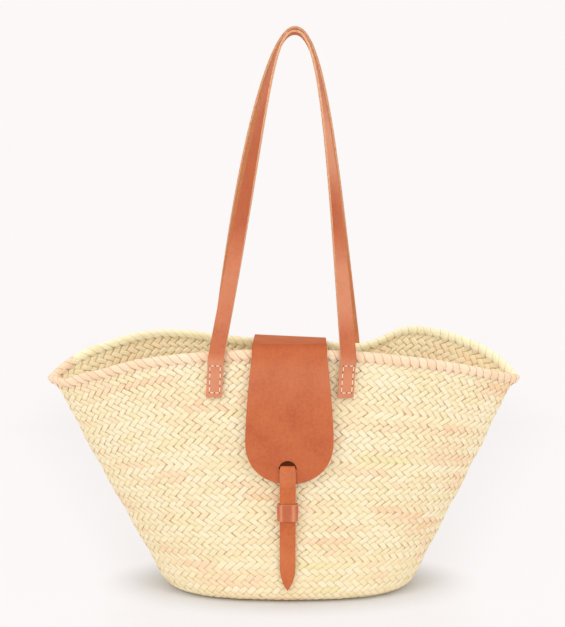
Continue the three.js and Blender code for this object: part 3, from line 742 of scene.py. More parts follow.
# Leather: patterns follow the strip's own UV map, in tenths of a metre along and across it
leatherColors = palette(
    grain=(195, 108, 72), warm=(204, 117, 77), deep=(180, 92, 60), strapGrain=(200, 108, 62),
    strapWarm=(209, 117, 66), strapDeep=(184, 90, 50), burnished=(172, 82, 44), worn=(226, 157, 122),
    slotShade=(132, 73, 43), flesh=(212, 138, 92), fleshPale=(226, 158, 114), edge=(226, 178, 140),
    edgeDeep=(190, 120, 82))
leatherGrain = {
    "cloud": (3.2, 3, 0.55), "mottle": (26, 3, 0.6), "pores": (170, 2, 0.6), "cells": 110, "cloudShare": 0.55,
    "stops": (0.3, 0.5, 0.72), "specks": ((0.28, (0.8, 0.74, 0.7, 1)), (0.46, white)), "speckShare": 0.45,
    "wornClouds": (0.3, 0.85), "depth": 0.0006, "sheen": 0.16,
}


# Painted light and shade: where the strip's own attribute for it is over zero the leather is painted pale, as
# a sheen, and under zero painted dark, as shade
def leatherFinish(name, tones, roughness, depth, gloss=0.2):
    leather = newFinish(name)
    uv = leather.add("ShaderNodeUVMap", uv_map="leather")
    cloud, mottle, pores = (leather.noise(uv, *leatherGrain[layer]) for layer in ("cloud", "mottle", "pores"))
    cells = leather.add("ShaderNodeTexVoronoi", {"Vector": uv, "Scale": leatherGrain["cells"]},
                        feature="DISTANCE_TO_EDGE")
    share = leatherGrain["cloudShare"]
    stops = zip(leatherGrain["stops"], [leatherColors[tone] for tone in tones])
    color = leather.ramp(cloud * share + mottle * (1 - share), *stops)
    specks = leather.ramp(pores, *leatherGrain["specks"])
    color = leather.blend(leatherGrain["speckShare"], color, specks, "MULTIPLY")
    wear = leather.add("ShaderNodeAttribute", out="Fac", attribute_name="wear")
    worn, burnished = wear.maths("MAXIMUM", wear, 0), wear.maths("MAXIMUM", wear * -1, 0)
    clouds, least = leatherGrain["wornClouds"]
    color = leather.blend(worn * (cloud * clouds + least), color, leatherColors["worn"])
    color = leather.blend(burnished, color, leatherColors["burnished"])
    relief = cells ** 0.5 * 0.5 + pores * 0.6 + mottle * 0.8
    normal = leather.bump(relief, depth, leatherGrain["depth"])
    return leather.surface(Base_Color=color, Roughness=mottle * leatherGrain["sheen"] + roughness,
                           Normal=normal, Specular_IOR_Level=gloss)


edgeGrain = {"stretch": (0.4, 6, 1), "fibre": (60, 3, 0.65), "relief": (0.5, 0.0003), "gloss": 0.25}


def edgeFinish():
    edge = newFinish("leatherCutEdge")
    uv = edge.add("ShaderNodeUVMap", uv_map="leather")
    stretched = edge.add("ShaderNodeMapping", {"Vector": uv, "Scale": edgeGrain["stretch"]})
    fibre = edge.noise(stretched, *edgeGrain["fibre"])
    color = edge.ramp(fibre, (0.3, leatherColors["edgeDeep"]), (0.6, leatherColors["edge"]))
    return edge.surface(Base_Color=color, Roughness=0.8, Normal=edge.bump(fibre, *edgeGrain["relief"]),
                        Specular_IOR_Level=edgeGrain["gloss"])


# Grain on the face, a cut edge and flesh on the back
def leatherSet(name, tones, roughness, depth, gloss=0.2):
    return [leatherFinish(name, tones, roughness, depth, gloss), cutLeather, fleshLeather]


fleshLeather = leatherFinish("leatherFlesh", ("flesh", "flesh", "fleshPale"), 0.62, 0.5)
cutLeather = edgeFinish()
tanTones = ("deep", "grain", "warm")
handleSet = leatherSet("leatherGrain", tanTones, 0.5, 0.3)
flapSet = leatherSet("flapGrain", tanTones, 0.68, 0.3, 0)
strapSet = leatherSet("strapGrain", ("strapDeep", "strapGrain", "strapWarm"), 0.42, 0.3)
keeperSet = leatherSet("keeperGrain", tanTones, 0.4, 0.2, 0.3)
# the slot's sheet of painted shade
slotShadeSet = leatherSet("slotShadeGrain", ("slotShade",) * 3, 0.9, 0.3, 0)

leather = {
    "handleWidth": 18, "slack": 0.35, "crown": 1, "bendGap": 0.3, "cutBevel": 0.4, "crowding": 0.6,
    "uvSize": 100, "uvThrough": 0.3,
}
thick = {"handle": 3, "tab": 1.8, "flap": 2.4, "strap": 2.2, "keeper": 1.6, "patch": 1}
slack, bendGap = leather["slack"], leather["bendGap"]
leatherBase = leather["crown"] + slack
rollFace = (rim["thickness"] - wall["thickness"]) / 2


# A strip knows, for each station: centre, direction across, width. The grain faces side * (tangent x across)
class Stations:
    def __init__(self, centre, across, width, side=1):
        self.centre, self.across = np.asarray(centre, float), unit(np.asarray(across, float))
        self.width = np.broadcast_to(np.asarray(width, float), len(self.centre)).copy()
        self.tangent = unit(np.gradient(self.centre, axis=0))
        self.facing = side * unit(np.cross(self.tangent, self.across))
        self.length = lengthsAlong(self.centre)

    # a point at a length along the strip, a distance across it and a height over its middle
    def at(self, length, across=0, height=0):
        def pick(values):
            return np.array([np.interp(length, self.length, values[:, axis]) for axis in range(3)])
        centre, sideways, facing = pick(self.centre), unit(pick(self.across)), unit(pick(self.facing))
        return centre + sideways * across + facing * height, sideways, facing


def roundCutEdges(sheet, offset, near=None):
    edges = [e for e in sheet.edges if len({f.material_index for f in e.link_faces}) == 2
             and (near is None or near(e.verts[0].co))]
    corners = [e for e in sheet.edges if len(e.link_faces) == 2 and near is None
               and all(f.material_index == 1 for f in e.link_faces) and e.calc_face_angle(0) > 1]
    bmesh.ops.bevel(sheet, geom=edges + corners, offset=offset, offset_type="OFFSET", segments=2,
                    profile=0.5, affect="EDGES", material=-1)


# A strip of leather bent along its stations; its painted sheen and shade are given as shares of its length
# and levels
def bendLeather(name, stations, thickness, rows=10, materials=handleSet, closed=False,
                bevel=leather["cutBevel"], wear=((0, 1), (0, 0))):
    columns = len(stations.centre) - 1
    sheet = slab(columns, rows, closed)
    uv = sheet.loops.layers.uv.new("leather")
    worn = sheet.verts.layers.float.new("wear")
    x, y, level = coordinates(sheet.verts).T
    station = np.round(x * columns).astype(int)
    across = (mix(y, 0.5 - 0.5 * np.cos(np.pi * y), leather["crowding"]) - 0.5) * stations.width[station]
    height = (level - 0.5) * thickness
    along = stations.length[station]
    placed = (stations.centre[station] + stations.across[station] * across[:, None]
              + stations.facing[station] * height[:, None])
    spread = across + leather["uvThrough"] * height
    sheet.verts.index_update()
    for face in sheet.faces:
        for loop in face.loops:
            here = loop.vert.index
            loop[uv].uv = (along[here] / leather["uvSize"], spread[here] / leather["uvSize"])
    for vert, point, amount in zip(sheet.verts, placed, np.interp(along / stations.length[-1], *wear)):
        vert.co, vert[worn] = point, amount
    if closed:
        bmesh.ops.remove_doubles(sheet, verts=sheet.verts, dist=1e-3)
    bmesh.ops.recalc_face_normals(sheet, faces=sheet.faces)
    roundCutEdges(sheet, bevel)
    bmesh.ops.scale(sheet, vec=(mm, mm, mm), verts=sheet.verts)
    return newObject(name, meshFrom(sheet, name), materials)


def rollCentreAt(side, x):
    middle, _, up = rollFrame(side * np.arccos((x - wall["mouthShift"]) / wall["mouthLength"]))
    return middle + up * rollLift


def stationOnWall(side, x, height, standOff):
    around, run, point = wallAt(side, x + 0 * height, height)
    across = alongWall(around, run)
    across[..., 2] = 0
    return point + wallNormal(around, run) * np.asarray(standOff)[..., None], unit(across)


handles = {
    "sewnEnd": 239.5, "shift": -3, "archPlace": 7, "archGap": 0.8, "shoulderLean": 0.34,
    "underRollDrop": 7.5, "underRollRun": 8, "sewnSteps": 26, "legSteps": 70, "softenings": 3,
    "tabOut": 1.1, "tabNarrower": 0.4, "stitchSkews": (-0.85, 0.1),
}
# The front strap has a pale painted sheen at its sewn ends and in patches along its legs, and painted shade
# in between
frontPaintedLight = (
    (0, 0.045, 0.056, 0.075, 0.1, 0.12, 0.16, 0.18, 0.2, 0.22, 0.24, 0.33, 0.38, 0.45, 0.6,
     0.64, 0.66, 0.7, 0.73, 0.76, 0.78, 0.8, 0.82, 0.84, 0.88, 0.9, 0.92, 0.945, 0.958, 1),
    (0.6, 0.6, 0, 0.05, 0.2, 0.25, 0.35, 0.2, 0, -0.3, -0.5, -0.5, -0.1, 0, 0.1,
     0.55, 0.75, 0.65, 0.2, -0.25, -0.25, 0, 0.35, 0.55, 0.55, 0.35, 0, 0, 0.5, 0.5))
# Each leg has the x and height of its shoulder, the x at which it reaches the arch, and how late it twists
handleSides = [
    {"name": "front", "side": -1, "feet": (-80.7, 65.1), "arch": 658, "wear": frontPaintedLight,
     "legs": [((-29, 560), -21, 1.4), ((45, 560), 33, 0.85)]},
    {"name": "back", "side": 1, "feet": (-87, 82), "arch": 666,
     # the back strap has a pale painted sheen on its first sewn end
     "wear": ((0, 0.05, 0.06, 1), (0.3, 0.3, 0, 0)),
     "legs": [((-59, 505), -26, 1.3), ((52, 517), 43, 1.3)]},
]
tabStandOff = leatherBase + thick["tab"] / 2
endStandOff = leatherBase + thick["tab"] + slack + thick["handle"] / 2
tabRimStandOff = rollFace + slack + thick["tab"] / 2
endRimStandOff = tabRimStandOff + endStandOff - tabStandOff


def bendHeight(side, feet):
    return rollCentreAt(side, np.array(feet))[:, 2].mean()


# From the lower edge of a sewn end up to the middle of the roll
def sewnPath(side, feet, index, low, high, top):
    height = np.linspace(handles["sewnEnd"], top, handles["sewnSteps"])
    under = top - handles["underRollDrop"]
    out = mix(low, high, smooth(under - handles["underRollRun"], under, height))
    shift = handles["shift"] * (top - height) / (top - handles["sewnEnd"])
    return stationOnWall(side, feet[index] + shift, height, out)


# From the roll to the middle of the arch, while the strap twists until it stands on edge
def legPath(side, feet, index, draw, arch):
    (shoulderX, shoulderHeight), crown, twistDelay = draw
    start, footAcross = stationOnWall(side, feet[index], bendHeight(side, feet), endRimStandOff)
    archY = side * (leather["handleWidth"] + handles["archGap"]) / 2
    shoulderY = mix(start[1], archY, handles["shoulderLean"])
    corners = [start, np.array([shoulderX, shoulderY, shoulderHeight]),
               np.array([crown, archY, arch]), np.array([handles["archPlace"], archY, arch])]
    share = np.linspace(0, 1, handles["legSteps"] + 1)[1:, None]
    rest = 1 - share
    weights = [rest ** 3, 3 * share * rest ** 2, 3 * share ** 2 * rest, share ** 3]
    slopes = [3 * rest ** 2, 6 * share * rest, 3 * share ** 2]
    centre = sum(weight * corner for weight, corner in zip(weights, corners))
    tangent = unit(sum(slope * (b - a) for slope, a, b in zip(slopes, corners, corners[1:])))
    climb = (centre[:, 2:] - start[2]) / (arch - start[2])
    twist = quarterTurn * np.clip(climb, 0, 1) ** twistDelay
    level = footAcross * np.sign(footAcross[0]) * (1, -1)[index]
    across = np.cos(twist) * level + np.sin(twist) * np.array([0, side, 0])
    across = unit(across - tangent * (across * tangent).sum(axis=1, keepdims=True))
    return centre, across, level


def handleStations(setup):
    side, feet = setup["side"], setup["feet"]
    halves = []
    for index, draw in enumerate(setup["legs"]):
        sewn, _ = sewnPath(side, feet, index, endStandOff, endRimStandOff, bendHeight(side, feet))
        leg, legAcross, footAcross = legPath(side, feet, index, draw, setup["arch"])
        sewnAcross = np.repeat(footAcross[None, :], len(sewn), axis=0)
        halves.append((np.concatenate([sewn, leg]), np.concatenate([sewnAcross, legAcross])))
    centre, across = (np.concatenate([left, right[-2::-1]]) for left, right in zip(*halves))
    # soften the small corner where the strap leaves the roll
    for _ in range(handles["softenings"]):
        centre[1:-1] = 0.25 * centre[:-2] + 0.5 * centre[1:-1] + 0.25 * centre[2:]
    return Stations(centre, across, leather["handleWidth"], side)


# Stitches: cream thread dipping into holes painted dark as their shade, in a box on each sewn end
stitching = {
    "width": 11.8, "low": 5.5, "high": 36.5, "across": 2, "along": 4, "thread": 0.48, "share": 0.76,
    "shift": 0.7, "lift": 0.12, "holeSize": 0.75, "holeTaper": 0.8, "holeDepth": 0.2, "holeLift": -0.02,
    "sides": 8, "rings": 6,
}
stitchMaterials = [
    speckleFinish("creamThread", (900, 2), ((0.3, linear(240, 220, 186)), (0.6, linear(255, 246, 226))),
                  0.7, relief=(0.5, 0.0002)),
    speckleFinish("needleHole", (700, 1), ((0.3, linear(58, 26, 14)), (0.7, linear(88, 42, 24))), 0.95),
]


def setInPlace(sheet, verts, middle, *axes):
    turn = Matrix(np.stack(axes, axis=1).tolist()).to_4x4()
    bmesh.ops.transform(sheet, verts=verts, matrix=Matrix.Translation(Vector(middle)) @ turn)


def sewBox(name, stations, atEnd, skew):
    sheet = bmesh.new()
    low, high, half = stitching["low"], stitching["high"], stitching["width"] / 2
    thread, holes = stitching["thread"], set()

    def spot(along, across):
        shifted = across + stitching["shift"] + skew * (along - low) / (high - low)
        length = stations.length[-1] - along if atEnd else along
        return stations.at(length, -shifted if atEnd else shifted, thick["handle"] / 2)

    sides = [((low, -half), (low, half), "across"), ((high, -half), (high, half), "across"),
             ((low, -half), (high, -half), "along"), ((low, half), (high, half), "along")]
    for (a0, b0), (a1, b1), way in sides:
        for stitch in range(stitching[way]):
            ends = []
            for share in (stitch / stitching[way], (stitch + 1) / stitching[way]):
                place = (round(mix(a0, a1, share), 3), round(mix(b0, b1, share), 3))
                holes.add(place)
                ends.append(spot(*place))
            (start, _, facing), (end, _, _) = ends
            reach, along = np.linalg.norm(end - start) / 2 * stitching["share"], unit(end - start)
            made = bmesh.ops.create_uvsphere(sheet, u_segments=stitching["sides"],
                                             v_segments=stitching["rings"], radius=1)["verts"]
            bmesh.ops.rotate(sheet, verts=made, matrix=Matrix.Rotation(quarterTurn, 3, "Y"))
            setInPlace(sheet, made, (start + end) / 2 + facing * stitching["lift"],
                       along * reach, np.cross(facing, along) * thread, facing * thread)
    for place in holes:
        middle, sideways, facing = spot(*place)
        size = stitching["holeSize"]
        made = bmesh.ops.create_cone(
            sheet, cap_ends=True, segments=stitching["sides"], radius1=size,
            radius2=size * stitching["holeTaper"], depth=stitching["holeDepth"])["verts"]
        setInPlace(sheet, made, middle + facing * stitching["holeLift"],
                   sideways, np.cross(facing, sideways), facing)
        for face in {f for v in made for f in v.link_faces}:
            face.material_index = 1
    bmesh.ops.recalc_face_normals(sheet, faces=sheet.faces)
    bmesh.ops.scale(sheet, vec=(mm, mm, mm), verts=sheet.verts)
    return newObject(name, meshFrom(sheet, name), stitchMaterials)


for setup in handleSides:
    stations, name, side = handleStations(setup), setup["name"], setup["side"]
    top = bendHeight(side, setup["feet"])
    hinge = top * mm
    strip = bendLeather(f"{name}_handle_strap", stations, thick["handle"], wear=setup["wear"])
    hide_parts(f"{name}_handle", f"{name}_handle_end_left", f"{name}_handle_end_right")
    hinge - 0.004
    hinge + 0.008
    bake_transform(strip)
    for index, end in enumerate(("left", "right")):
        feet = [foot + (-1, 1)[index] * handles["tabOut"] for foot in setup["feet"]]
        centre, across = sewnPath(side, feet, index, tabStandOff, tabRimStandOff, top - bendGap)
        width = leather["handleWidth"] - handles["tabNarrower"]
        tabPath = Stations(centre, across * np.sign(across[:, :1]), width, side)
        tab = bendLeather(f"{name}_backing_{end}", tabPath, thick["tab"], 4)
        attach(tab, "basket")
        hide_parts(f"{name}_handle_tab_{end}")
        sewn = sewBox(f"{name}_stitches_{end}", stations, index, handles["stitchSkews"][index])
        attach(sewn, "basket")
print("handles sewn on")

# Flap: sewn low on the back wall, over the mouth and down the front to a round end with a slot
flap = {
    "place": 0.2, "foldPlace": 2.6, "foldWidth": 91, "neckWidth": 84, "width": 99, "roundHeight": 191.4,
    "roundDrop": 48.2, "squareness": 2.2, "foldTilt": 2.8, "foldLift": 0.8, "tailHeight": 226,
    "tailCorner": 12, "slotTop": 169.6, "slotRadius": 10.1, "slotBevel": 0.35, "neckPower": 1.5,
    "rimRadius": 10, "rimLift": 2, "rows": 18, "tailRound": (0.25, 1.5708, 7), "tailSteps": 20,
    "turnSteps": 16, "overSteps": 26, "hangSteps": 40, "roundSlopes": ((3, 72, 22), (74, 88.2, 14)),
    "toolStart": -75, "toolLength": 60, "toolSegments": 64, "slotReach": 12.5, "frontFrom": -50,
}
# Painted light on the flap: a pale painted sheen over the mouth and painted shade just under its front fold
flapPaintedLight = ((0, 0.15, 0.4, 0.57, 0.6, 0.606, 0.613, 0.62, 0.632, 0.644, 0.656, 0.68, 0.71, 0.8, 1),
            (0, 0.2, 0.2, 0.15, 0.08, -0.25, -0.42, -0.38, -0.2, -0.06, 0.03, 0.12, 0.16, 0, -0.12))
# Closing strap: from its root behind the flap through the slot, down over the flap and through the keeper
strap = {
    "place": -1.7, "width": 18, "fold": 160, "root": 96, "tip": 17.5, "point": 34, "fullness": 2.8,
    "lipDrop": 0.4, "foldWidth": 15.4, "foldFoot": 17.4, "foldRun": 6, "pointWidth": 0.8, "pointReach": 0.96,
    "widensFrom": 1.2, "keeperEase": 2, "tipEase": 12, "bevel": 0.35,
    "rootSteps": 24, "foldSteps": 18, "legSteps": 60, "pointSteps": 26,
    # along the strap: painted shade where it comes up behind the fold, a pale painted highlight over the fold
    # and a faint one lower down
    "wear": ((0, 0.06, 0.12, 0.2, 0.5, 0.75, 1), (-0.2, 0.1, 0.15, 0, 0, 0.1, 0)),
}
keeper = {
    "height": 19, "middle": 110.3, "side": 1.3, "corner": 3, "footCorner": 0.9, "arch": 0.9, "step": 0.9,
    "archFrom": 0.6, "cornerSteps": 9, "bevel": 0.3,
    # along the loop: pale painted highlights on the two front shoulders and a little painted shade between
    # them
    "wear": ((0, 0.07, 0.115, 0.16, 0.2, 0.29, 0.33, 0.36, 0.4, 1),
             (0, 0, 0.75, 0.1, -0.2, -0.2, 0, 0.75, 0, 0)),
}
slotShadePatch = {"heights": (150, 177), "width": 27, "steps": 14, "bevel": 0.2}
flapOut = rim["thickness"] / 2 + slack + thick["flap"] / 2
flapOver = rim["height"] / 2 + slack + thick["flap"] / 2
strapStandOff = leatherBase + thick["keeper"] + slack + thick["strap"] / 2
layerStep = (thick["strap"] + thick["flap"]) / 2 + slack
flapStandOff = strapStandOff + layerStep
frontLegStandOff = flapStandOff + layerStep
keptLegStandOff = strapStandOff + thick["strap"] + slack


# The middle of the roll under the flap, as far out as the roll reaches anywhere across its width
def rollUnderFlap(side, place, width):
    centre = rollCentreAt(side, place)
    centre[1] = side * (rollCentreAt(side, place + np.linspace(-0.5, 0.5, 5) * width)[:, 1] * side).max()
    return centre


backRoll = rollUnderFlap(1, flap["foldPlace"], flap["foldWidth"])
frontRoll = rollUnderFlap(-1, flap["place"], flap["neckWidth"])


def hangingWidth(height):
    share = np.clip((height - flap["roundHeight"]) / (frontRoll[2] - flap["roundHeight"]), 0, 1)
    neck = mix(flap["width"], flap["neckWidth"], share ** flap["neckPower"])
    drop = np.clip((flap["roundHeight"] - height) / flap["roundDrop"], 0, 1)
    power = flap["squareness"]
    return np.where(height > flap["roundHeight"], neck, flap["width"] * (1 - drop ** power) ** (1 / power))


def flapPath():
    rows = []

    def add(x, y, z, width, tilt=0):
        rows.append(np.stack(np.broadcast_arrays(x, y, z, width, np.radians(tilt))))

    # tail, up the back wall to the roll
    top = backRoll[2] - bendGap / 2
    under, corner = top - handles["underRollDrop"], flap["tailHeight"] + flap["tailCorner"]
    tail = np.concatenate([corner - flap["tailCorner"] * np.cos(np.linspace(*flap["tailRound"])),
                           np.linspace(corner, top, flap["tailSteps"])[1:]])
    reach = 1 - np.clip((tail - flap["tailHeight"]) / flap["tailCorner"], 0, 1)
    inset = flap["tailCorner"] * (1 - np.sqrt(1 - reach ** 2))
    low, high = leatherBase + thick["flap"] / 2, rollFace + slack + thick["flap"] / 2
    out = mix(low, high, smooth(under - handles["underRollRun"], under, tail))
    onBack, _ = stationOnWall(1, flap["foldPlace"], tail, out)
    y = mix(onBack[:, 1], backRoll[1] + flapOut, smooth(under, top, tail))
    add(flap["foldPlace"], y, tail, flap["foldWidth"] - 2 * inset)
    # over the back roll, across the mouth and over the front roll
    over, turn = flapOver + flap["foldLift"], np.linspace(0, quarterTurn, flap["turnSteps"])
    add(flap["foldPlace"], backRoll[1] + flapOut * np.cos(turn[1:]), backRoll[2] + over * np.sin(turn[1:]),
        flap["foldWidth"], flap["foldTilt"] * turn[1:] / quarterTurn)
    share = np.linspace(0, 1, flap["overSteps"])[1:-1]
    radius, frontTop = flap["rimRadius"], frontRoll[2] + flapOver + flap["rimLift"]
    bendY, bendZ = frontRoll[1] - flapOut + radius, frontTop - radius
    add(mix(flap["foldPlace"], flap["place"], share), mix(backRoll[1], bendY, share),
        mix(backRoll[2] + over, frontTop, share),
        mix(flap["foldWidth"], flap["neckWidth"], smooth(0, 1, share)), flap["foldTilt"] * (1 - share))
    add(flap["place"], bendY - radius * np.sin(turn), bendZ + radius * np.cos(turn), flap["neckWidth"])
    # down the front, straight to the slot and then at one distance from the wall
    slope = np.radians(np.concatenate([np.linspace(*slopes) for slopes in flap["roundSlopes"]]))
    height = np.concatenate([np.linspace(bendZ, flap["roundHeight"], flap["hangSteps"])[1:],
                             flap["roundHeight"] - flap["roundDrop"] * np.sin(slope)])
    atSlot = stationOnWall(-1, flap["place"], flap["slotTop"], flapStandOff)[0][1]
    follow = stationOnWall(-1, flap["place"], height, flapStandOff)[0][:, 1]
    down = (bendZ - height) / (bendZ - flap["slotTop"])
    add(flap["place"], np.where(down < 1, mix(bendY - radius, atSlot, down), follow), height,
        hangingWidth(height))
    x, y, z, width, tilt = np.concatenate(rows, axis=1)
    return Stations(vectors(x, y, z), vectors(np.cos(tilt), 0, -np.sin(tilt)), width)


# The slot is round above and flat at the lip over which the strap folds
def cutSlot(piece):
    centre = Vector((strap["place"], 0, flap["slotTop"] - flap["slotRadius"]))
    tool = bmesh.new()
    bmesh.ops.create_circle(tool, segments=flap["toolSegments"], radius=flap["slotRadius"], cap_ends=True)
    lip = strap["fold"] - strap["lipDrop"] - centre.z
    bmesh.ops.bisect_plane(tool, geom=tool.verts[:] + tool.edges[:] + tool.faces[:], plane_co=(0, lip, 0),
                           plane_no=(0, -1, 0), clear_outer=True)
    raiseFaces(tool, flap["toolLength"])
    bmesh.ops.rotate(tool, verts=tool.verts, matrix=Matrix.Rotation(quarterTurn, 3, "X"))
    bmesh.ops.translate(tool, verts=tool.verts, vec=centre + Vector((0, flap["toolStart"], 0)))
    bmesh.ops.scale(tool, vec=(mm, mm, mm), verts=tool.verts)
    bmesh.ops.recalc_face_normals(tool, faces=tool.faces)
    for face in tool.faces:
        face.material_index = 1
    cutter = newObject("slotTool", meshFrom(tool, "slotTool"), flapSet)
    cut = piece.modifiers.new("slot", "BOOLEAN")
    cut.operation, cut.object, cut.solver = "DIFFERENCE", cutter, "EXACT"
    graph = bpy.context.evaluated_depsgraph_get()
    result = bpy.data.meshes.new_from_object(piece.evaluated_get(graph))
    piece.modifiers.clear()
    used = [piece.data, cutter.data]
    piece.data = result
    bpy.data.objects.remove(cutter)
    for mesh in used:
        bpy.data.meshes.remove(mesh)

    def nearSlot(co):
        away = (Vector((co.x, 0, co.z)) - centre * mm).length
        return away < flap["slotReach"] * mm and co.y < flap["frontFrom"] * mm

    sheet = bmesh.new()
    sheet.from_mesh(result)
    roundCutEdges(sheet, flap["slotBevel"] * mm, nearSlot)
    meshFrom(sheet, into=result)


flapPiece = bendLeather("flap_leather", flapPath(), thick["flap"], flap["rows"], flapSet, wear=flapPaintedLight)
cutSlot(flapPiece)
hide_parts("flap", "flap_tail")
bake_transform(flapPiece)
print("flap cut")


def strapLine(height, standOff):
    line = stationOnWall(-1, strap["place"], height, standOff)[0]
    line[:, 0] = strap["place"]
    return line


def straightStations(line, width, side=1):
    return Stations(line, vectors(np.ones(len(line)), 0, 0), width, side)


def strapRoot():
    height = np.linspace(strap["root"], strap["fold"] - bendGap / 2, strap["rootSteps"])
    line = strapLine(height, strapStandOff)
    path = straightStations(line, strap["width"])
    piece = bendLeather("strap_root_leather", path, thick["strap"], 6, strapSet)
    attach(piece, "basket")
    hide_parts("closing_strap_root")


def strapEnd():
    rear, lead = (stationOnWall(-1, strap["place"], strap["fold"], out)[0]
                  for out in (strapStandOff, frontLegStandOff))
    middle, radius = (rear + lead) / 2, np.linalg.norm(rear - lead) / 2
    turn = np.linspace(0, np.pi, strap["foldSteps"])
    fold = vectors(strap["place"], middle[1] + radius * np.cos(turn), middle[2] + radius * np.sin(turn))
    fold[0, 2] += bendGap / 2
    keeperTop = keeper["middle"] + keeper["height"] / 2
    taper, rest = strap["tip"] + strap["point"], leatherBase + thick["strap"]
    # heights at which the strap reaches a new distance from the wall
    knots = [(strap["fold"], frontLegStandOff), (flap["roundHeight"] - flap["roundDrop"], frontLegStandOff),
             (keeperTop + strap["keeperEase"], keptLegStandOff),
             (keeperTop - keeper["height"] - strap["keeperEase"], keptLegStandOff),
             (taper + strap["tipEase"], rest), (0, rest)]
    pointTurn = np.linspace(0, strap["pointReach"], strap["pointSteps"])[1:] * quarterTurn
    height = np.concatenate([np.linspace(strap["fold"], taper, strap["legSteps"])[1:],
                             taper - strap["point"] * np.sin(pointTurn)])
    standOff = np.full(len(height), rest)
    for (high, a), (low, b) in zip(knots, knots[1:]):
        here = (height <= high) & (height > low)
        standOff[here] = mix(a, b, smooth(high, low, height[here]))
    share = np.clip((taper - height) / strap["point"], 0, 1)
    spread = smooth(strap["fold"], strap["fold"] - strap["foldRun"], height)
    hanging = mix(strap["foldFoot"], strap["width"], spread) * (1 - share ** strap["fullness"])
    folded = mix(strap["foldWidth"], strap["foldFoot"], smooth(strap["widensFrom"], np.pi, turn))
    width = np.concatenate([folded, hanging])
    line = np.concatenate([fold, strapLine(height, standOff)])
    path = straightStations(line, np.maximum(width, strap["pointWidth"]))
    piece = bendLeather("strap_end_leather", path, thick["strap"], 8, strapSet,
                        bevel=strap["bevel"], wear=strap["wear"])
    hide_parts("closing_strap_end")
    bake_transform(piece)


def keeperLoop():
    near = leatherBase + thick["keeper"] / 2
    far = keptLegStandOff + thick["strap"] / 2 + slack + thick["keeper"] / 2
    half = strap["width"] / 2 + keeper["side"] + thick["keeper"] / 2
    large, small = keeper["corner"], keeper["footCorner"]
    outline = []
    for turn, (way, size) in enumerate(((1, large), (-1, large), (-1, small), (1, small))):
        cornerY = far - large if turn < 2 else near + small
        for angle in np.linspace(turn, turn + 1, keeper["cornerSteps"]) * quarterTurn:
            outline.append((way * (half - size) + size * math.cos(angle), cornerY + size * math.sin(angle)))
    outline = np.array(outline)
    dense = []
    for a, b in zip(outline, np.roll(outline, -1, axis=0)):
        pieces = max(1, int(np.linalg.norm(b - a) / keeper["step"]))
        dense += [mix(a, b, share) for share in np.arange(pieces) / pieces]
    x, y = np.array(dense + [dense[0]]).T
    y = y + keeper["arch"] * np.clip(1 - (x / half) ** 2, 0, 1) * (y > far - keeper["archFrom"])
    foot, middle, head = (wallAt(-1, strap["place"], keeper["middle"] + rise * keeper["height"] / 2)[2]
                          for rise in (-1, 0, 1))
    up = unit(head - foot)
    out = unit(np.cross([1, 0, 0], up))
    centre = middle + x[:, None] * np.array([1, 0, 0]) + y[:, None] * out * np.sign(-out[1])
    path = Stations(centre, np.repeat(up[None, :], len(centre), axis=0), keeper["height"])
    path.tangent[0] = path.tangent[-1] = unit(path.tangent[0] + path.tangent[-1])
    path.facing = unit(np.cross(path.tangent, path.across))
    probe = len(centre) // 8
    path.facing *= np.sign(((centre[probe] - middle) * path.facing[probe]).sum())
    piece = bendLeather("keeper_leather", path, thick["keeper"], 6, keeperSet, closed=True,
                        bevel=keeper["bevel"], wear=keeper["wear"])
    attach(piece, "basket")
    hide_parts("strap_keeper")


# A thin dark sheet on the plait behind the slot, where the strap comes through: painted shade, so that the
# slot looks dark
def paintedShadeBehindSlot():
    height = np.linspace(*slotShadePatch["heights"], slotShadePatch["steps"])
    line = strapLine(height, leatherBase + thick["patch"] / 2)
    path = straightStations(line, slotShadePatch["width"], -1)
    piece = bendLeather("slot_painted_shade", path, thick["patch"], 6, slotShadeSet, bevel=slotShadePatch["bevel"])
    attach(piece, "basket")


strapRoot()
strapEnd()
keeperLoop()
paintedShadeBehindSlot()
print("closing strap and keeper made")

# Studio: a pale sweep, soft light from both sides and above. The camera sees the sweep as bright paper
# with a dark contact under the basket and a soft shade round and behind it
studio = {
    "width": 8, "front": -4, "bend": 1.6, "radius": 1.2, "height": 5, "steps": 14,
    "seen": linear(254, 250, 249), "paper": linear(246, 243, 241), "shownPaper": linear(214, 213, 212),
    "contactShare": 0.04, "shadeShare": 0.78, "openShare": 0.95, "contactOval": (0.15, 0.085),
    "contactEase": (0.85, 1.6), "shadeHalf": 0.24, "shadeSpread": 0.4, "shadeDepth": 1.1,
    "shadeEase": (0.6, 1), "shadeHeight": 0.12, "air": (1, 0.985, 0.97, 1), "world": 0.6, "aim": (0, 0, 0.2),
    "lamps": [
        {"place": (-2.3, -2.2, 1.9), "size": (2.0, 2.4), "power": 40.5},
        {"place": (2.5, -2.0, 1.7), "size": (2.0, 2.4), "power": 34},
        {"place": (0, -0.6, 3.0), "size": (2.6, 2.0), "power": 21},
    ],
}


def cameraMask(finish):
    path = finish.add("ShaderNodeLightPath", out="Is Camera Ray")
    seen = path.maths("MAXIMUM", path, path.output("Is Glossy Ray"))
    return path.maths("MAXIMUM", seen, path.output("Is Transmission Ray"))


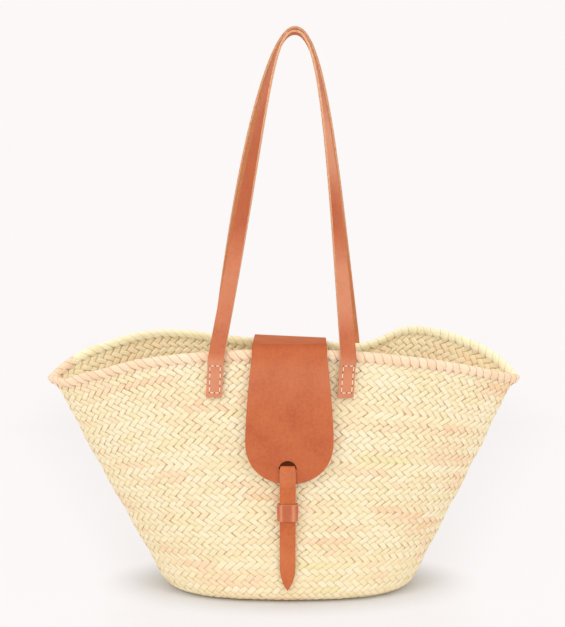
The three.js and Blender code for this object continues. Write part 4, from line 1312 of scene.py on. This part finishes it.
def sweepPaper():
    paper = newFinish("sweepPaper")
    x = paper.add("ShaderNodeSeparateXYZ", {0: paper.add("ShaderNodeTexCoord", out="Object")})
    y, height = x.output(1), x.output(2)
    behind = y.maths("MINIMUM", y.maths("MAXIMUM", y, 0), studio["shadeDepth"])
    beside = paper.ease(abs(x) / (behind * studio["shadeSpread"] + studio["shadeHalf"]), *studio["shadeEase"])
    clear = beside.maths("MAXIMUM", beside, paper.ease(height, 0, studio["shadeHeight"]))
    share = clear * (studio["openShare"] - studio["shadeShare"]) + studio["shadeShare"]
    ovalX, ovalY = (value * (1 / size) for value, size in zip((x, y), studio["contactOval"]))
    away = paper.ease((ovalX * ovalX + ovalY * ovalY) ** 0.5, *studio["contactEase"])
    share = (share - studio["contactShare"]) * away + studio["contactShare"]
    glow = paper.add("ShaderNodeEmission", {"Color": studio["seen"], "Strength": 1})
    shown, plain = (paper.add("ShaderNodeBsdfDiffuse", {"Color": studio[name]})
                    for name in ("shownPaper", "paper"))
    seen = paper.add("ShaderNodeMixShader", {0: share, 1: shown, 2: glow})
    both = paper.add("ShaderNodeMixShader", {0: cameraMask(paper), 1: plain, 2: seen})
    paper.add("ShaderNodeOutputMaterial", {"Surface": both})
    return paper.owner


def addSweep():
    steps, bend, radius = studio["steps"], studio["bend"], studio["radius"]
    sweep = unitGrid(2, steps + 2)
    angles = np.arange(steps + 1) / steps * quarterTurn
    curve = [(bend + radius * math.sin(a), radius * (1 - math.cos(a))) for a in angles]
    profile = [(studio["front"], 0), *curve, (bend + radius, studio["height"])]
    for vert in sweep.verts:
        y, z = profile[round(vert.co.y * (steps + 2))]
        vert.co = ((vert.co.x - 0.5) * studio["width"], y, z)
    newObject("studio_sweep", meshFrom(sweep, "studioSweep"), [sweepPaper()])


def addLamp(name, setup):
    light = bpy.data.lights.new(name, "AREA")
    light.shape, light.energy = "RECTANGLE", setup["power"]
    light.size, light.size_y = setup["size"]
    lamp = newObject(name, light)
    lamp.location = setup["place"]
    aim = Vector(studio["aim"]) - Vector(setup["place"])
    lamp.rotation_euler = aim.to_track_quat("-Z", "Y").to_euler()


def addWorld():
    air = Finish(bpy.data.worlds.new("studio_air"))
    dim = air.add("ShaderNodeBackground", {"Color": studio["air"], "Strength": studio["world"]})
    seen = air.add("ShaderNodeBackground", {"Color": studio["seen"], "Strength": 1})
    both = air.add("ShaderNodeMixShader", {0: cameraMask(air), 1: dim, 2: seen})
    air.add("ShaderNodeOutputWorld", {"Surface": both})
    bpy.context.scene.world = air.owner


addSweep()
addWorld()
for number, setup in enumerate(studio["lamps"]):
    addLamp(f"softbox_{number + 1}", setup)
print("studio lit")

bpy.context.view_layer.update()
